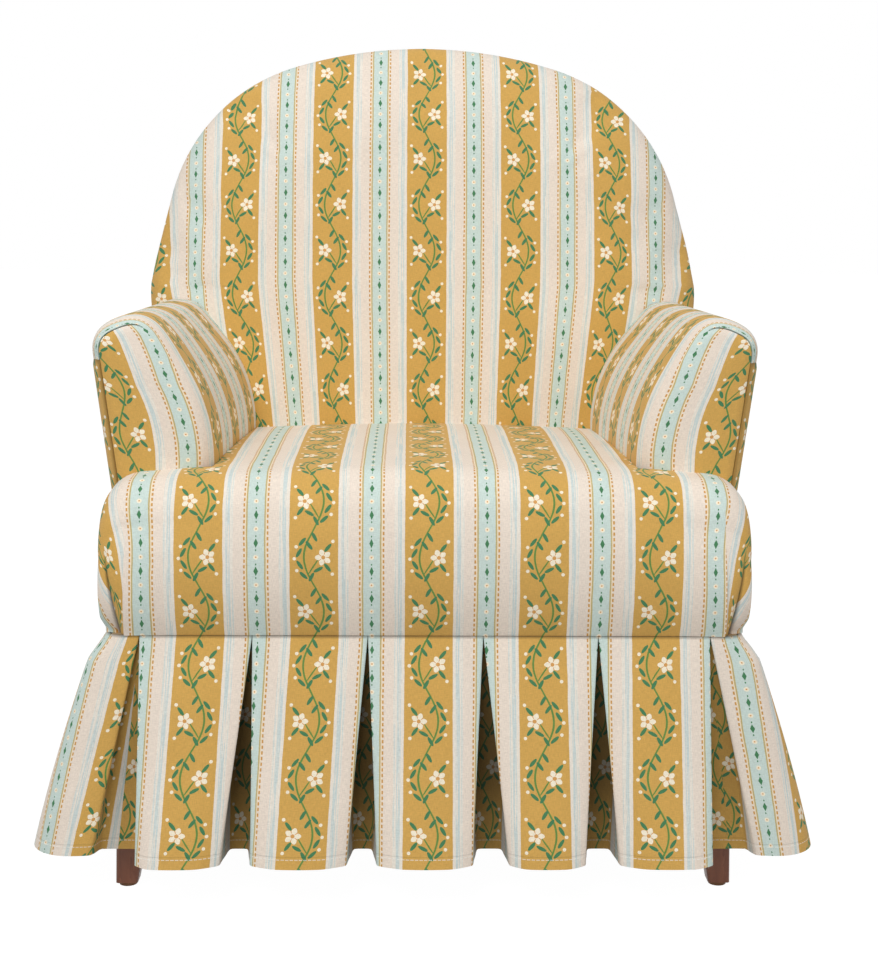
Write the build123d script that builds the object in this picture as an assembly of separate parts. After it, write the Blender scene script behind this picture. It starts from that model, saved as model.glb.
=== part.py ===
"""Skirted armchair: hardwood frame, sprung tight seat, padded arms and back, box pleated skirt."""
import os
from math import atan2, cos, hypot, radians, sin, tan

from build123d import *

os.makedirs("parts", exist_ok=True)

# Axes: X across the chair, Y from front to rear, Z up from the floor; millimetres throughout

# Clearances
FIT = 0.05
SOFT_GAP = 0.3
COVER = 2.0
UNDER_COVER = COVER + SOFT_GAP

# Seat frame
FRAME_HALF = 301.0
FRAME_FRONT = -248.0
FRAME_REAR = 208.0
RAIL_T = 22.0
RAIL_TOP = 270.0
RAIL_BOTTOM = 195.0
INNER_X = FRAME_HALF - RAIL_T
REACH = 2.0 * FRAME_HALF
BLOCK_LEG = 44.0
BLOCK_H = 45.0
DOWEL_R = 5.0
DOWEL_L = 32.0
SCREW_R = 2.2
SCREW_HEAD_R = 4.2
SCREW_HEAD_T = 2.5

# Legs and their hardware
LEG_TOP = 48.0
LEG_FOOT = 22.0
LEG_SPLAY = 10.0
LEG_EDGE = 3.0
GLIDE_T = 4.0
GLIDE_R = 9.0
SPIKE_R = 1.5
SPIKE_L = 14.0
BOLT_R = 4.0
BOLT_IN_LEG = 40.0
BOLT_INSET = 9.6
NUT_FLANGE_R = 9.0
NUT_FLANGE_T = 1.5
NUT_BARREL_R = 5.2
NUT_BARREL_L = 11.0

# Seat: crowned top, front that rolls over and draws in to the skirt seam
SOFT_FLOOR = RAIL_TOP + SOFT_GAP
SEAT_FRONT = FRAME_FRONT - 20.0
SEAT_DRAW_IN = 12.0
SEAT_BULGE_Z = RAIL_TOP + 65.0
SEAT_EDGE_TOP = RAIL_TOP + 150.0
SEAT_ROLL_R = 42.0
SEAT_CROWN = 10.0
SEAT_END = FRAME_HALF + 15.0
SEAT_TIP = 44.0
TIP_DROP = 38.0
SEAT_SPARE = 20.0
SEAT_SHOULDER = SEAT_END - SEAT_TIP
DECK_CROWN = 6.0

# Arms: front and rear profiles share one rolled top
ARM_FRONT = FRAME_FRONT + 55.0
ARM_REAR = FRAME_REAR - 8.0
ARM_WIDE = 90.0
ARM_TAPER = 20.0
ARM_IN_FRONT = FRAME_HALF - ARM_WIDE
ARM_IN_REAR = ARM_IN_FRONT - ARM_TAPER
ARM_ROLL_R = 34.0
ARM_ROLL_Z = RAIL_TOP + 271.0
ARM_KNEE_Z = RAIL_TOP + 255.0
ARM_ROLL = (FRAME_HALF - 4.0, ARM_ROLL_Z)
ARM_SPRING = 109.0
ARM_LEAN = radians(7.0)
ARM_POST_T = 25.0
ARM_POST_Y = ARM_FRONT + 15.0
ARM_CAVITY_X = FRAME_HALF - 47.0
ARM_LINER_T = 3.0
ARM_RAIL_X = ARM_CAVITY_X + ARM_LINER_T
ARM_RAIL_TOP = ARM_KNEE_Z + 20.0
OUTER_PANEL_TOP = ARM_KNEE_Z + 5.0
OUTER_PANEL_SETBACK = 16.0

# Back: three-centred arch on a raked plane; w runs up the plane, n runs forward from its rear face
RAKE = radians(9.0)
BACK_Y = FRAME_REAR + 2.0
BACK_Z = RAIL_TOP - 5.0
BACK_TOP = 602.0
CROWN_R = 1.75415 * FRAME_HALF
SHOULDER_R = 0.72093 * FRAME_HALF
SHOULDER_TURN = radians(17.2)
SIDE_LEAN = radians(13.7)
HIP_W = 318.0
FOOT_HALF = FRAME_HALF + 7.0
BACK_FULL_N = 70.0
BACK_FACE_N = 125.0
BACK_PAD_FLOOR_W = 30.0
REAR_ROUND = 8.0
BACK_FRAME_REAR = 2.6
BACK_FRAME_FRONT = 46.0
BACK_POST_X = (FOOT_HALF - 50.0, FOOT_HALF - 18.0)
BACK_POST_TOP = 340.0
BOW_OUT = 14.0
BOW_WIDE = 50.0
STRAP_T = 1.5
STRAP_W = 50.0
STRAP_STATIONS = (185.0, 315.0, 395.0, 475.0)

# Suspension
SPRING_WIRE = 3.6
SPRING_HALF = 23.0
SPRING_RUNS = 20
SPRING_PITCH = (FRAME_REAR - FRAME_FRONT - RAIL_T) / SPRING_RUNS
CLIP_T = 1.0
CLIP_W = 16.0
INSULATOR_T = 4.0
INSULATOR_HALF = ARM_IN_REAR - 5.0
SPRING_SPACE = (INSULATOR_HALF - 36.0) / 2
SPRING_X = tuple(SPRING_SPACE * k for k in range(-2, 3))

# Skirt: inverted box pleats, closed at the seam and open at the hem
SKIRT_T = 1.6
SKIRT_LAYER = 2.4
SKIRT_TOP = RAIL_TOP
SKIRT_HEM = 53.0
SKIRT_PITCH = INNER_X / 2.5
SKIRT_HEM_PITCH = SKIRT_PITCH + 2.0
STRIP_T = 2.5
STRIP_H = 20.0
PLEAT_FOLD = 24.0
PLEAT_MOUTH = 20.0
PLEAT_DEPTH = 44.5
FRONT_FLARE = 43.0
SIDE_FLARE = 75.0
REAR_FLARE = 43.0
PANEL_BOW = 8.0
CORNER_SETBACK = 27.0


def save(name, *shapes):
    """Write one node, made of one or more solids."""
    solids = [s for shape in shapes for s in shape.solids()]
    export_step(solids[0] if len(solids) == 1 else Compound(solids), f"parts/{name}.step")


def save_pair(name, right):
    """Write the right-hand piece and its mirror image."""
    save(f"{name}_right", right)
    save(f"{name}_left", right.mirror(Plane.YZ))


def block(x0, x1, y0, y1, z0, z1):
    """Box between two corners."""
    return Pos((x0 + x1) / 2, (y0 + y1) / 2, (z0 + z1) / 2) * Box(x1 - x0, y1 - y0, z1 - z0)


def rod(start, end, radius):
    """Round bar between two points."""
    run = Vector(*end) - Vector(*start)
    return Solid.make_cylinder(radius, run.length, Plane(origin=start, z_dir=run))


def prism(points, run):
    """Flat polygon pushed along a vector."""
    return Solid.extrude(Face(Wire.make_polygon(points)), Vector(*run))


def on_circle(centre, radius, angle):
    """Point at an angle on a circle in its own plane."""
    return centre[0] + radius * cos(angle), centre[1] + radius * sin(angle)


# Back plane helpers
BACK_PLANE = Plane(origin=(0, BACK_Y, BACK_Z), x_dir=(1, 0, 0), z_dir=(0, -cos(RAKE), sin(RAKE)))


def back_point(x, w, n):
    """World point from the raked plane's own coordinates."""
    return (
        x,
        BACK_Y + w * sin(RAKE) - n * cos(RAKE),
        BACK_Z + w * cos(RAKE) + n * sin(RAKE),
    )


def back_block(x0, x1, w0, w1, n0, n1):
    """Box square to the raked plane."""
    middle = Pos((x0 + x1) / 2, (w0 + w1) / 2, (n0 + n1) / 2)
    return BACK_PLANE.location * middle * Box(x1 - x0, w1 - w0, n1 - n0)


CROWN_C = (0.0, BACK_TOP - CROWN_R)
SHOULDER_C = on_circle(CROWN_C, CROWN_R - SHOULDER_R, radians(90) - SHOULDER_TURN)
SIDE_START = on_circle(SHOULDER_C, SHOULDER_R, SIDE_LEAN)
HIP = (SIDE_START[0] + (SIDE_START[1] - HIP_W) * tan(SIDE_LEAN), HIP_W)
FOOT_LEAN = atan2(HIP[0] - FOOT_HALF, HIP_W)


def arch_sides(inset):
    """Right-hand hip point and the half width at the foot of the arch."""
    up = (cos(SIDE_LEAN), sin(SIDE_LEAN))
    low = (cos(FOOT_LEAN), -sin(FOOT_LEAN))
    share = inset / (1 + up[0] * low[0] + up[1] * low[1])
    hip = (HIP[0] - share * (up[0] + low[0]), HIP[1] - share * (up[1] + low[1]))
    foot_w = -60.0
    foot_x = hip[0] - (hip[1] - foot_w) * tan(FOOT_LEAN)
    return hip, (foot_x, foot_w)


def arch_half(w):
    """Half width of the outline at a height on the shoulder or the side."""
    rise = w - SHOULDER_C[1]
    if w > SIDE_START[1]:
        return SHOULDER_C[0] + (SHOULDER_R**2 - rise**2) ** 0.5
    return SIDE_START[0] + (SIDE_START[1] - w) * tan(SIDE_LEAN)


def arch(n, inset):
    """Closed outline of the back at one depth, drawn in by an inset."""
    hip, foot = arch_sides(inset)
    crown, shoulder = CROWN_R - inset, SHOULDER_R - inset
    turn = radians(90) - SHOULDER_TURN
    top = on_circle(CROWN_C, crown, radians(90))
    join = on_circle(CROWN_C, crown, turn)
    bend = on_circle(SHOULDER_C, shoulder, (turn + SIDE_LEAN) / 2)
    side = on_circle(SHOULDER_C, shoulder, SIDE_LEAN)

    def right(p):
        return back_point(p[0], p[1], n)

    def left(p):
        return back_point(-p[0], p[1], n)

    return Wire(
        [
            Edge.make_line(left(foot), right(foot)),
            Edge.make_line(right(foot), right(hip)),
            Edge.make_line(right(hip), right(side)),
            Edge.make_three_point_arc(right(side), right(bend), right(join)),
            Edge.make_three_point_arc(right(join), right(top), left(join)),
            Edge.make_three_point_arc(left(join), left(bend), left(side)),
            Edge.make_line(left(side), left(hip)),
            Edge.make_line(left(hip), left(foot)),
        ]
    )


def arch_prism(inset, n0, n1):
    """Straight-sided slab in the shape of the back."""
    return Solid.make_loft([arch(n0, inset), arch(n1, inset)], ruled=True)


def back_form(inset, rear=0.0):
    """Whole back: straight border, then a crowned face."""
    full = BACK_FULL_N
    deep = BACK_FACE_N - BACK_FULL_N - inset
    crown = ((0.0, 0.0), (0.24, 4.0), (0.52, 17.0), (0.8, 44.0), (1.0, 100.0))
    border = [arch(rear, inset + REAR_ROUND), arch(14.0, inset), arch(full, inset)]
    face = [arch(full + share * deep, inset + draw) for share, draw in crown]
    return Solid.make_loft(border, ruled=True) + Solid.make_loft(face)


def above_rails(shape):
    """Trim a soft piece level with the top of the seat frame."""
    return shape - block(-REACH, REACH, -REACH, REACH, -REACH, SOFT_FLOOR)


# Arm forms, right-hand side


def arm_inside(y):
    """Distance from the centre line to the arm's inner face."""
    share = (y - ARM_FRONT) / (ARM_REAR - ARM_FRONT)
    return ARM_IN_FRONT + share * (ARM_IN_REAR - ARM_IN_FRONT)


def arm_outline(y, inset, floor):
    """Closed arm profile: upright inner face, swept side, rolled top, leaning outer face."""
    roll = ARM_ROLL
    inner = arm_inside(y)
    reach = roll[0] - inner
    sweep = (reach**2 + ARM_SPRING**2 - ARM_ROLL_R**2) / (2 * (reach - ARM_ROLL_R))
    hub = (inner + sweep, roll[1] - ARM_SPRING)
    turn = atan2(roll[1] - hub[1], roll[0] - hub[0])
    spring = (inner + inset, hub[1])
    swept = on_circle(hub, sweep - inset, (turn + radians(180)) / 2)
    join = on_circle(hub, sweep - inset, turn)
    top = on_circle(roll, ARM_ROLL_R - inset, (turn - ARM_LEAN) / 2)
    outer = on_circle(roll, ARM_ROLL_R - inset, -ARM_LEAN)
    toe = (outer[0] - (outer[1] - floor) * tan(ARM_LEAN), floor)
    heel = (inner + inset, floor)

    def at(p):
        return p[0], y, p[1]

    return Wire(
        [
            Edge.make_line(at(heel), at(spring)),
            Edge.make_three_point_arc(at(spring), at(swept), at(join)),
            Edge.make_three_point_arc(at(join), at(top), at(outer)),
            Edge.make_line(at(outer), at(toe)),
            Edge.make_line(at(toe), at(heel)),
        ]
    )


def arm_form(inset, floor):
    """Whole arm: soft rounded front, straight run to the back."""
    nose = ((0.0, 20.0), (5.0, 9.0), (15.0, 2.5), (30.0, 0.0))
    front = [arm_outline(ARM_FRONT + inset + set_back, inset + draw, floor) for set_back, draw in nose]
    run = [arm_outline(ARM_FRONT + inset + nose[-1][0], inset, floor), arm_outline(ARM_REAR, inset, floor)]
    return Solid.make_loft(front) + Solid.make_loft(run, ruled=True)


# Seat forms


def nose_outline(x, inset, draw, lift):
    """Side profile of the seat front: bulged face and rolled top edge, with a spare length below the seam."""
    rear = ARM_FRONT - SOFT_GAP - inset
    front = SEAT_FRONT + inset + 0.4 * draw
    top = SEAT_EDGE_TOP + lift - inset - draw
    hub = (front + SEAT_ROLL_R + 9.0, top - SEAT_ROLL_R)
    low = (front + SEAT_DRAW_IN, SOFT_FLOOR + 0.3 * draw)
    base = low[1] - SEAT_SPARE
    bulge = (front, SEAT_BULGE_Z - 0.3 * draw)
    start = on_circle(hub, SEAT_ROLL_R, radians(180))
    middle = on_circle(hub, SEAT_ROLL_R, radians(135))
    end = on_circle(hub, SEAT_ROLL_R, radians(90))

    def at(p):
        return x, p[0], p[1]

    return Wire(
        [
            Edge.make_line(at((rear, base)), at((low[0], base))),
            Edge.make_line(at((low[0], base)), at(low)),
            Edge.make_three_point_arc(at(low), at(bulge), at(start)),
            Edge.make_three_point_arc(at(start), at(middle), at(end)),
            Edge.make_line(at(end), at((rear, top + 1.5))),
            Edge.make_line(at((rear, top + 1.5)), at((rear, base))),
        ]
    )


def deck_outline(y, inset, side, crown):
    """Cross section of the seat between the arms."""
    floor = SOFT_FLOOR - SEAT_SPARE
    half = arm_inside(y) - SOFT_GAP - inset
    left, right = (-half, y, side - inset), (half, y, side - inset)
    return Wire(
        [
            Edge.make_line((-half, y, floor), (half, y, floor)),
            Edge.make_line((half, y, floor), right),
            Edge.make_three_point_arc(right, (0, y, side + crown - inset), left),
            Edge.make_line(left, (-half, y, floor)),
        ]
    )


def seat_form(inset, floor):
    """Tee-shaped seat: a full-width front and a deck between the arms."""
    shares = (1.0, 0.977, 0.932, 0.852, 0.727, 0.545, 0.295, 0.0)
    ends = [(SEAT_TIP * (1 - share), TIP_DROP * (1 - (1 - share**2) ** 0.5)) for share in shares]
    shoulder = SEAT_SHOULDER - inset
    spans = ((-shoulder, 0.0), (0.0, SEAT_CROWN), (shoulder, 0.0))
    middle = Solid.make_loft([nose_outline(x, inset, 0.0, lift) for x, lift in spans])
    cap = [nose_outline(SEAT_END - inset - step, inset, draw, 0.0) for step, draw in ends]
    tip = Solid.make_loft(cap, ruled=True)
    stations = ((ARM_FRONT - SOFT_GAP - inset, 0.0), (ARM_FRONT + 153.0, 4.0), (ARM_REAR - 50.0, 1.5))
    deck = [deck_outline(y, inset, SEAT_EDGE_TOP + 4.5 + rise, DECK_CROWN) for y, rise in stations]
    whole = middle + tip + tip.mirror(Plane.YZ) + Solid.make_loft(deck)
    return whole - block(-REACH, REACH, -REACH, REACH, -REACH, floor)


# Seat frame
front_rail = block(-FRAME_HALF, FRAME_HALF, FRAME_FRONT, FRAME_FRONT + RAIL_T, RAIL_BOTTOM, RAIL_TOP)
rear_rail = block(-FRAME_HALF, FRAME_HALF, FRAME_REAR - RAIL_T, FRAME_REAR, RAIL_BOTTOM, RAIL_TOP)
side_rail = block(
    FRAME_HALF - RAIL_T, FRAME_HALF, FRAME_FRONT + RAIL_T, FRAME_REAR - RAIL_T, RAIL_BOTTOM, RAIL_TOP
)

# Right-hand corners as (inner x, inner y, direction into the chair along y)
CORNERS = ((INNER_X, FRAME_FRONT + RAIL_T, 1), (INNER_X, FRAME_REAR - RAIL_T, -1))


def screw(head, tip):
    """Countersink-free wood screw with a round head."""
    run = Vector(*tip) - Vector(*head)
    collar = Vector(*head) - run.normalized() * SCREW_HEAD_T
    return rod(head, tip, SCREW_R) + rod(tuple(collar), head, SCREW_HEAD_R)


def corner_set(x, y, way):
    """Glue block, its screws, the leg bolt and the tee nut for one corner."""
    low, high = RAIL_BOTTOM, RAIL_BOTTOM + BLOCK_H
    outline = [(x, y, low), (x - BLOCK_LEG, y, low), (x, y + way * BLOCK_LEG, low)]
    glue = prism(outline, (0, 0, BLOCK_H))
    bolt_xy = (x - BOLT_INSET, y + way * BOLT_INSET)
    bolt = rod((*bolt_xy, low - BOLT_IN_LEG), (*bolt_xy, high + 6), BOLT_R)
    flange = rod((*bolt_xy, high), (*bolt_xy, high + NUT_FLANGE_T), NUT_FLANGE_R)
    barrel = rod((*bolt_xy, high - NUT_BARREL_L), (*bolt_xy, high), NUT_BARREL_R)
    thread = rod((*bolt_xy, low - BOLT_IN_LEG), (*bolt_xy, high + 9), BOLT_R + FIT)
    nut = flange + barrel - thread
    glue -= rod((*bolt_xy, high - NUT_BARREL_L), (*bolt_xy, high + 1), NUT_BARREL_R + FIT)
    glue -= thread
    along = 27.0
    reach = BLOCK_LEG - along
    screws = [
        screw((x - reach - 1, y + way * along, low + 12), (x + 18, y + way * along, low + 12)),
        screw((x - along, y + way * (reach + 1), low + 30), (x - along, y - way * 18, low + 30)),
    ]
    return glue, screws, bolt, nut, thread


def drill(shape, pins, extra=FIT):
    """Cut clearance holes for a list of (start, end, radius) pins."""
    for start, end, radius in pins:
        shape -= rod(start, end, radius + extra)
    return shape


DOWEL_X = FRAME_HALF - RAIL_T / 2
rail_pins = []
for _, edge, way in CORNERS:
    for height in (RAIL_BOTTOM + 20, RAIL_TOP - 20):
        rail_pins.append(
            ((DOWEL_X, edge - way * DOWEL_L / 2, height), (DOWEL_X, edge + way * DOWEL_L / 2, height), DOWEL_R)
        )


def mirrored(pin):
    """Same pin on the left-hand side."""
    (ax, ay, az), (bx, by, bz), radius = pin
    return (-ax, ay, az), (-bx, by, bz), radius


# Arm frame
post_front, post_rear = ARM_POST_Y, ARM_POST_Y + ARM_POST_T
POST_LAP = (INNER_X - 25.0, RAIL_BOTTOM + 10.0)
LAP_SCREW_Z = (RAIL_BOTTOM + 27.0, RAIL_TOP - 18.0)
post_outline = [
    (POST_LAP[0], POST_LAP[1]),
    (INNER_X, POST_LAP[1]),
    (INNER_X, RAIL_TOP),
    (FRAME_HALF - 10, RAIL_TOP),
    (FRAME_HALF + 10, ARM_KNEE_Z - 25),
    (FRAME_HALF + 1, ARM_KNEE_Z + 13),
    (FRAME_HALF - 9, ARM_RAIL_TOP),
    (ARM_CAVITY_X + 10, ARM_RAIL_TOP),
    (ARM_CAVITY_X, ARM_KNEE_Z - 5),
]
arm_post = prism([(x, post_front, z) for x, z in post_outline], (0, ARM_POST_T, 0))
behind_frame = back_block(-REACH, REACH, -REACH, 2 * REACH, -REACH, BACK_FRAME_FRONT)
past_rear = BACK_Y + BACK_TOP * sin(RAKE)
arm_top_rail = block(ARM_RAIL_X, ARM_RAIL_X + 32, post_rear, past_rear, ARM_RAIL_TOP - 25, ARM_RAIL_TOP)
arm_top_rail = arm_top_rail - behind_frame
arm_tack_rail = block(ARM_RAIL_X, ARM_RAIL_X + 25, post_rear, past_rear, RAIL_TOP + 15, RAIL_TOP + 55)
arm_tack_rail = arm_tack_rail - behind_frame
back_solid = back_form(-SOFT_GAP, -SOFT_GAP)
behind_border = back_block(-REACH, REACH, -REACH, 2 * REACH, -REACH, BACK_FULL_N)
arm_liner = block(ARM_CAVITY_X, ARM_RAIL_X, post_rear, ARM_REAR - 30, RAIL_TOP + 20, ARM_RAIL_TOP - 5)
arm_liner = arm_liner - back_solid - behind_border

arm_pins = [
    ((x, post_rear - DOWEL_L / 2, z), (x, post_rear + DOWEL_L / 2, z), DOWEL_R)
    for x, z in ((ARM_RAIL_X + 16, ARM_RAIL_TOP - 12.5), (ARM_RAIL_X + 12, RAIL_TOP + 35))
]
lap_y = (post_front + post_rear) / 2
lap_screws = [screw((POST_LAP[0], lap_y, z), (FRAME_HALF - 4, lap_y, z)) for z in LAP_SCREW_Z]
lap_pins = [((POST_LAP[0] - 1, lap_y, z), (FRAME_HALF - 4, lap_y, z), SCREW_R) for z in LAP_SCREW_Z]

# Back frame
back_post = back_block(*BACK_POST_X, -40, BACK_POST_TOP, BACK_FRAME_REAR, BACK_FRAME_FRONT)
back_post = back_post - block(-REACH, REACH, -REACH, REACH, -REACH, RAIL_TOP)
bow = arch_prism(BOW_OUT, BACK_FRAME_REAR, BACK_FRAME_FRONT) - arch_prism(BOW_OUT + BOW_WIDE, -10, 60)
bow = bow - back_block(-REACH, REACH, -REACH, BACK_POST_TOP, -REACH, REACH)
back_tack_rail = back_block(-BACK_POST_X[0], BACK_POST_X[0], 105, 145, BACK_FRAME_FRONT - 28, BACK_FRAME_FRONT)
straps = []
for station in STRAP_STATIONS:
    reach = min(BACK_POST_X[1] - 2, arch_half(station + STRAP_W / 2) - BOW_OUT - 4)
    straps.append(
        back_block(
            -reach, reach, station - STRAP_W / 2, station + STRAP_W / 2, BACK_FRAME_FRONT, BACK_FRAME_FRONT + STRAP_T
        )
    )
bow_x = sum(BACK_POST_X) / 2
bow_n = (BACK_FRAME_REAR + BACK_FRAME_FRONT) / 2
bow_pins = [
    (
        back_point(bow_x, BACK_POST_TOP - DOWEL_L / 2, bow_n),
        back_point(bow_x, BACK_POST_TOP + DOWEL_L / 2, bow_n),
        DOWEL_R,
    )
]

# Legs and corner hardware
legs, glides, glue_blocks, block_screws, bolts, nuts = {}, [], [], [], [], []
for name, (x, y, way) in zip(("front", "rear"), CORNERS):
    glue, screws, bolt, nut, thread = corner_set(x, y, way)
    outer_y = y - way * RAIL_T
    top_face = [(FRAME_HALF, outer_y), (FRAME_HALF - LEG_TOP, outer_y)]
    top_face += [(FRAME_HALF - LEG_TOP, outer_y + way * LEG_TOP), (FRAME_HALF, outer_y + way * LEG_TOP)]
    foot_x = FRAME_HALF + LEG_SPLAY
    rear_y = outer_y + way * LEG_TOP
    foot_face = [(foot_x, rear_y - way * LEG_FOOT), (foot_x - LEG_FOOT, rear_y - way * LEG_FOOT)]
    foot_face += [(foot_x - LEG_FOOT, rear_y), (foot_x, rear_y)]
    foot_wire = Wire.make_polygon([(*p, GLIDE_T) for p in foot_face])
    leg = Solid.make_loft([foot_wire, Wire.make_polygon([(*p, RAIL_BOTTOM) for p in top_face])], ruled=True)
    uprights = [e for e in leg.edges() if e.bounding_box().size.Z > 100]
    leg = leg.fillet(LEG_EDGE, uprights)
    centre = (foot_x - LEG_FOOT / 2, rear_y - way * LEG_FOOT / 2)
    spike = ((*centre, GLIDE_T), (*centre, GLIDE_T + SPIKE_L), SPIKE_R)
    leg = drill(leg - thread, [spike])
    legs[name] = leg
    glides.append(rod((*centre, 0), (*centre, GLIDE_T), GLIDE_R) + rod(*spike))
    for piece in screws:
        glue = glue - piece
        block_screws.append(piece)
    glue_blocks.append(glue)
    bolts.append(bolt)
    nuts.append(nut)


def both(pieces):
    """Pieces with their mirror images."""
    return [*pieces, *[piece.mirror(Plane.YZ) for piece in pieces]]


for piece in both(block_screws):
    front_rail = front_rail - piece
    rear_rail = rear_rail - piece
for piece in block_screws:
    side_rail = side_rail - piece
both_pins = rail_pins + [mirrored(pin) for pin in rail_pins]
front_rail = drill(front_rail, both_pins)
rear_rail = drill(rear_rail, both_pins)
side_rail = drill(drill(side_rail, rail_pins), lap_pins)
arm_post = drill(drill(arm_post, arm_pins), lap_pins)
arm_top_rail = drill(arm_top_rail, arm_pins)
arm_tack_rail = drill(arm_tack_rail, arm_pins)
back_post = drill(back_post, bow_pins)
bow = drill(bow, bow_pins + [mirrored(pin) for pin in bow_pins])
dowels = [rod(*pin) for pin in rail_pins + arm_pins + bow_pins]

save("front_rail", front_rail)
save("rear_rail", rear_rail)
save_pair("side_rail", side_rail)
save("corner_blocks", *both(glue_blocks))
save("corner_block_screws", *both(block_screws))
save("frame_dowels", *both(dowels))
save_pair("arm_post", arm_post)
save("arm_post_screws", *both(lap_screws))
save_pair("arm_top_rail", arm_top_rail)
save_pair("arm_tack_rail", arm_tack_rail)
save_pair("arm_liner", arm_liner)
save_pair("back_post", back_post)
save("back_bow", bow)
save("back_tack_rail", back_tack_rail)
save("back_webbing", *straps)
for name, leg in legs.items():
    save_pair(f"leg_{name}", leg)
save("leg_bolts", *both(bolts))
save("leg_tee_nuts", *both(nuts))
save("leg_glides", *both(glides))

# Seat suspension: zigzag springs in clips on the front and rear rails
SPRING_Z = RAIL_TOP + CLIP_T + FIT
spring_start = FRAME_FRONT + RAIL_T / 2


def spring_trace():
    """Centre line of one spring, with clipped bends."""
    corner = 5.0
    points = []
    for run in range(SPRING_RUNS + 1):
        y = spring_start + run * SPRING_PITCH
        side = SPRING_HALF if run % 2 else -SPRING_HALF
        lead = [(-side, y - corner), (-side + corner * (1 if side > 0 else -1), y)]
        trail = [(side - corner * (1 if side > 0 else -1), y), (side, y + corner)]
        points += (lead if run else []) + (trail if run < SPRING_RUNS else [(side, y)])
        if run < SPRING_RUNS:
            points.append((side, y + SPRING_PITCH - corner))
    cleaned = [points[0]]
    for p in points[1:]:
        if hypot(p[0] - cleaned[-1][0], p[1] - cleaned[-1][1]) > 0.01:
            cleaned.append(p)
    return cleaned


def ribbon(points, width):
    """Closed outline around an open path, mitred at the corners."""
    left, right = [], []
    for i, (x, y) in enumerate(points):
        before = points[max(i - 1, 0)]
        after = points[min(i + 1, len(points) - 1)]
        a = Vector(x - before[0], y - before[1]) if i else Vector(after[0] - x, after[1] - y)
        b = Vector(after[0] - x, after[1] - y) if i + 1 < len(points) else a
        a, b = a.normalized(), b.normalized()
        na, nb = Vector(-a.Y, a.X), Vector(-b.Y, b.X)
        mitre = (na + nb) * (width / 2 / (1 + na.dot(nb)))
        left.append((x + mitre.X, y + mitre.Y))
        right.append((x - mitre.X, y - mitre.Y))
    return left + right[::-1]


trace = ribbon(spring_trace(), SPRING_WIRE)
spring = prism([(x, y, SPRING_Z) for x, y in trace], (0, 0, SPRING_WIRE))
save("seat_springs", *[Pos(x, 0, 0) * spring for x in SPRING_X])


def clip(x, y, way):
    """Folded steel clip that holds one end of a spring."""
    half = SPRING_WIRE / 2 + FIT
    top = RAIL_TOP + CLIP_T + SPRING_WIRE + 2 * FIT
    back = y - way * (half + CLIP_T)
    outline = [
        (y + way * 8, RAIL_TOP),
        (back, RAIL_TOP),
        (back, top + CLIP_T),
        (y + way * 3, top + CLIP_T),
        (y + way * 3, top),
        (y - way * half, top),
        (y - way * half, RAIL_TOP + CLIP_T),
        (y + way * 8, RAIL_TOP + CLIP_T),
    ]
    return prism([(x - CLIP_W / 2, a, b) for a, b in outline], (CLIP_W, 0, 0))


spring_end = spring_start + SPRING_RUNS * SPRING_PITCH
save("spring_clips", *[clip(x, y, way) for x in SPRING_X for y, way in ((spring_start, 1), (spring_end, -1))])
pad_low = RAIL_TOP + 2 * CLIP_T + SPRING_WIRE + 3 * FIT
PAD_TOP = pad_low + INSULATOR_T
pad_rear = FRAME_REAR - 46
save("seat_insulator", block(-INSULATOR_HALF, INSULATOR_HALF, FRAME_FRONT + 4, pad_rear, pad_low, PAD_TOP))

# Seat cushion and cover
past_back = back_block(-REACH, REACH, -REACH, 2 * REACH, -REACH, BACK_FACE_N + SOFT_GAP)
seat_shell = seat_form(0.0, SOFT_FLOOR) - seat_form(COVER, RAIL_BOTTOM) - past_back
seat_foam = seat_form(UNDER_COVER, PAD_TOP + 0.1) - past_back
save("seat_cover", seat_shell)
save("seat_foam", seat_foam)

# Arm cushions, covers and outside panels
arm_cavity = block(ARM_CAVITY_X, REACH, post_front, past_rear, RAIL_BOTTOM, ARM_RAIL_TOP)
arm_foam = arm_form(UNDER_COVER, SOFT_FLOOR) - arm_cavity - back_solid - behind_border
arm_shell = arm_form(0.0, SOFT_FLOOR) - arm_form(COVER, SOFT_FLOOR - 15) - back_solid - behind_border
panel_zone = prism(
    [
        (x, ARM_FRONT + OUTER_PANEL_SETBACK, z)
        for x, z in (
            (FRAME_HALF - 12, RAIL_TOP - 15),
            (FRAME_HALF + 44, RAIL_TOP - 15),
            (FRAME_HALF + 54, OUTER_PANEL_TOP),
            (FRAME_HALF + 11, OUTER_PANEL_TOP),
        )
    ],
    (0, REACH, 0),
)
save_pair("arm_foam", arm_foam)
save_pair("arm_cover", arm_shell - panel_zone)
save_pair("outside_arm", arm_shell & panel_zone)

# Back cushion, cover and outside panel
arm_rails = both([arm_top_rail, arm_tack_rail])
deck_space = back_block(
    -ARM_CAVITY_X, ARM_CAVITY_X, -REACH, BACK_PAD_FLOOR_W, BACK_FRAME_FRONT + STRAP_T, REACH
)
back_foam = back_form(UNDER_COVER, 0.5) - arch_prism(BOW_OUT - 0.2, -20, BACK_FRAME_FRONT + STRAP_T + 0.1)
behind_posts = back_block(-REACH, REACH, -REACH, 2 * REACH, -REACH, BACK_FRAME_REAR)
back_foam = above_rails(back_foam - behind_posts - deck_space)
back_shell = back_form(0.0, 0.0) - back_form(COVER, -6.0) - deck_space
back_shell = above_rails(back_shell)
for rail in arm_rails:
    back_foam = back_foam - rail
    back_shell = back_shell - rail
outside_back = above_rails(arch_prism(REAR_ROUND + UNDER_COVER + 0.3, 0.4, 2.4))
save("back_foam", back_foam)
save("back_cover", back_shell)
save("outside_back", outside_back)

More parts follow.
